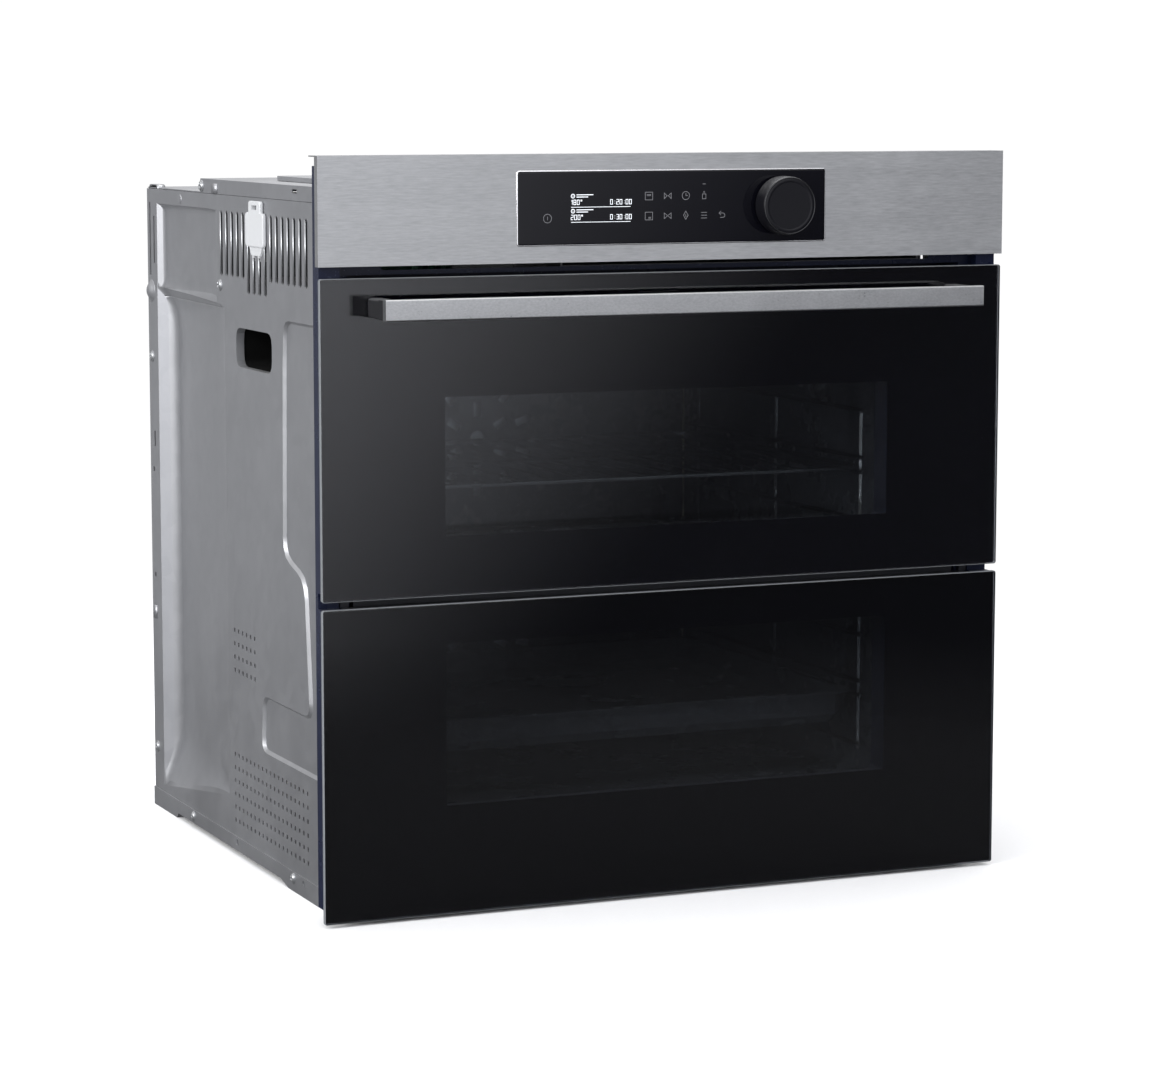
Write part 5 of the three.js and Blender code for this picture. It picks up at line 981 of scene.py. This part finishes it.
inlet_x, inlet_z = box_of("terminal_block")[0], (505, 538)
GLAND, GLAND_R = np.array([sum(inlet_x) / 2, 522.0]), 9.3
near_s, far_s = 511.5, 513.4
outer = grown_outline(inlet_x, inlet_z, 3, 3)
turn = np.arctan2(*(outer - GLAND).T[::-1])
inner = GLAND + GLAND_R * np.stack([np.cos(turn), np.sin(turn)], 1)
rings = [(outer, near_s), (outer, far_s), (inner, far_s), (inner, near_s)]
rows = np.stack([np.insert(flat, 1, s, axis=1) for flat, s in rings])
flange_faces = grid_faces(4, len(outer), wrap_rows=True, wrap_columns=True).tolist()
shells("gland_flange", [(rows.reshape(-1, 3), flange_faces)], black_plastic)
print("cups and flange are in place")

# %% [markdown]
# ## Soft corners of the pressed pans
#
# A press rounds every inner corner of a pan. A flat-sided pan is the least of
# its planes' depths; a smooth least, a - h^2 k / 4 with h = max(k - |a - b|, 0) / k,
# is never deeper, so a skin drawn with it lies just outside the folded sheet
# and fills its corners. Its rim dives under the sheet.

# %% Skins over the two pans
WEDGE = dict(rim_s=(282, 482), rim_front=(47, 469), rim_rear=(20, 479))
WEDGE |= dict(foot_s=(296, 472), foot_z=(54, 463), deep=(3, 16))
UPPER = dict(rim_s=(304, 481), rim_front=(468, 549), rim_rear=(466, 549))
UPPER |= dict(foot_s=(314, 475), foot_z=(477, 545), deep=(3, 6.5))


def plane(s, z, *corners):
    """The depth at (s, z) of the plane through three (s, z, depth) corners."""
    places = [(*corner[:2], 1) for corner in corners]
    a, b, c = np.linalg.solve(places, [corner[2] for corner in corners])
    return a * s + b * z + c


def slopes(s, z, rim_front, rim_rear, foot_front, foot_rear):
    """The two planes of one sloping side of a pan, folded along the diagonal that bulges."""
    if plane(*foot_front[:2], rim_front, rim_rear, foot_rear) >= foot_front[2]:
        return [plane(s, z, rim_front, rim_rear, foot_rear), plane(s, z, rim_front, foot_rear, foot_front)]
    return [plane(s, z, rim_front, rim_rear, foot_front), plane(s, z, rim_rear, foot_front, foot_rear)]


def pan_depth(s, z, soft, rim_s, foot_s, rim_front, rim_rear, foot_z, deep):
    """The depth of a pan at (s, z) in mm, below 0 outside its rim.

    soft scales the rounding of its corners.
    """
    floor = deep[0] + (s - foot_s[0]) * (deep[1] - deep[0]) / (foot_s[1] - foot_s[0])
    sides = [(s - rim_s[0]) * deep[0] / (foot_s[0] - rim_s[0])]
    sides.append((rim_s[1] - s) * deep[1] / (rim_s[1] - foot_s[1]))
    for end in (0, 1):
        rim = [(rim_s[0], rim_front[end], 0), (rim_s[1], rim_rear[end], 0)]
        foot = [(foot_s[0], foot_z[end], deep[0]), (foot_s[1], foot_z[end], deep[1])]
        sides += slopes(s, z, *rim, *foot)
    least, k = floor, soft * np.clip(floor, 2, 13)
    for side in sides:
        h = np.clip(k - abs(least - side), 0, None) / k
        least = np.minimum(least, side) - h * h * k / 4
    return least


def steps(*spans):
    """Grid lines: each span is (start, end, pitch)."""
    lines = [np.linspace(a, b, int(round((b - a) / pitch)) + 1) for a, b, pitch in spans]
    return np.unique(np.concatenate(lines))


OFFSET, UNDER, SKIN_GAUGE = 0.12, 0.3, 0.35
WEDGE_GRID = (
    steps((282, 300, 1.5), (300, 444, 4), (444, 482, 0.8)),
    steps((20, 84, 1.6), (84, 436, 8), (436, 466, 1.5)),
)
UPPER_GRID = (
    steps((299, 316, 1.5), (316, 456, 5), (456, 482, 0.9)),
    steps((466, 488, 1), (488, 538, 4), (538, 549, 0.8)),
)
for side, where in SIDES:
    skins = []
    for s_lines, z_lines in (WEDGE_GRID, UPPER_GRID):
        s, z = np.meshgrid(s_lines, z_lines, indexing="ij")
        deep = np.maximum(pan_depth(s, z, 0.85, **WEDGE), pan_depth(s, z, 0.5, **UPPER)) - OFFSET
        deep = np.maximum(deep, UNDER)
        layers = [np.stack([side * (SKIN_X - deep - back), s, z], -1) for back in (0.0, SKIN_GAUGE)]
        top, under = (layer.reshape(-1, 3) for layer in layers)
        sheet = grid_faces(*s.shape)
        number = np.arange(s.size).reshape(s.shape)
        rim = np.concatenate([number[:, 0], number[-1, 1:], number[-2::-1, -1], number[0, -2:0:-1]])
        wall = np.stack([rim, np.roll(rim, -1), np.roll(rim, -1) + s.size, rim + s.size], -1)
        faces = np.concatenate([sheet, sheet[:, ::-1] + s.size, wall]).tolist()
        skins.append((np.concatenate([top, under]), faces))
    shells("pan_skin_" + where, skins, casing_zinc)
print("pan skins:", sum(len(f) for _, f in skins), "faces on each side")

# %% [markdown]
# ## The fibre blanket
#
# The wool round the cavity is soft: it bulges between the sheets that hold it
# and has no sharp edge. A cloth simulation suits a cushion that is blown up; a
# stiff mat only sinks here and there. So the blanket's solid is remeshed into
# small even cells, its edges are relaxed, and each point sinks along its normal
# by a sum of waves. It only ever sinks, so it stays clear of the motors.

# %% Blanket of mineral wool
CELL = 5.5 * MM
solid = nodes["insulation_blanket"]
copy = add_object("wool_source", solid.data.copy())
weld = copy.modifiers.new("weld", "WELD")
weld.merge_threshold = 0.02 * MM
cells = copy.modifiers.new("cells", "REMESH")
cells.mode, cells.voxel_size, cells.use_smooth_shade = "VOXEL", CELL, True
relax = copy.modifiers.new("relax", "SMOOTH")
relax.factor, relax.iterations = 0.5, 3
mesh = bpy.data.meshes.new_from_object(copy.evaluated_get(bpy.context.evaluated_depsgraph_get()))
bpy.data.objects.remove(copy)
mesh.name = "wool_blanket"
count = len(mesh.vertices)
points, normals = np.empty(count * 3), np.empty(count * 3)
mesh.vertices.foreach_get("co", points)
mesh.vertices.foreach_get("normal", normals)
points, normals = points.reshape(-1, 3), normals.reshape(-1, 3)
WAVES = np.array(
    [(61, 37, 23), (-43, 71, 31), (29, -53, 79), (113, 89, -67), (-97, 131, 101), (173, -149, 139)]
)
PARTS = np.array([0.26, 0.24, 0.2, 0.13, 0.1, 0.07])
SINK_LEAST, SINK_SPAN = 0.9, 1.9
swell = (np.sin(points @ WAVES.T + np.arange(6)) * PARTS).sum(1)
sink = (SINK_LEAST + SINK_SPAN * (0.5 + 0.5 * swell)) * MM
points -= normals * sink[:, None]
mesh.vertices.foreach_set("co", points.ravel())
mesh.polygons.foreach_set("use_smooth", np.ones(len(mesh.polygons), bool))
mesh.materials.clear()
mesh.materials.append(mineral_wool)
mesh.update()
blanket = add_object("wool_blanket", mesh)
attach(blanket, "chassis")
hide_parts("insulation_blanket")
sunk = (round(sink.min() / MM, 1), round(sink.max() / MM, 1))
print("wool:", len(mesh.polygons), "cells, sunk by", sunk, "mm")

# %% [markdown]
# ## Close
#
# The last cell prints how far the visual model's box reaches past the CAD model's box
# on each side. The visual model must stay inside the CAD model's box.

# %% Sizes
low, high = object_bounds()
grows = [round((a - b) / MM, 2) for a, b in zip([*cad_low, *high], [*low, *cad_high])]
print("visual box grows by", grows, "mm")
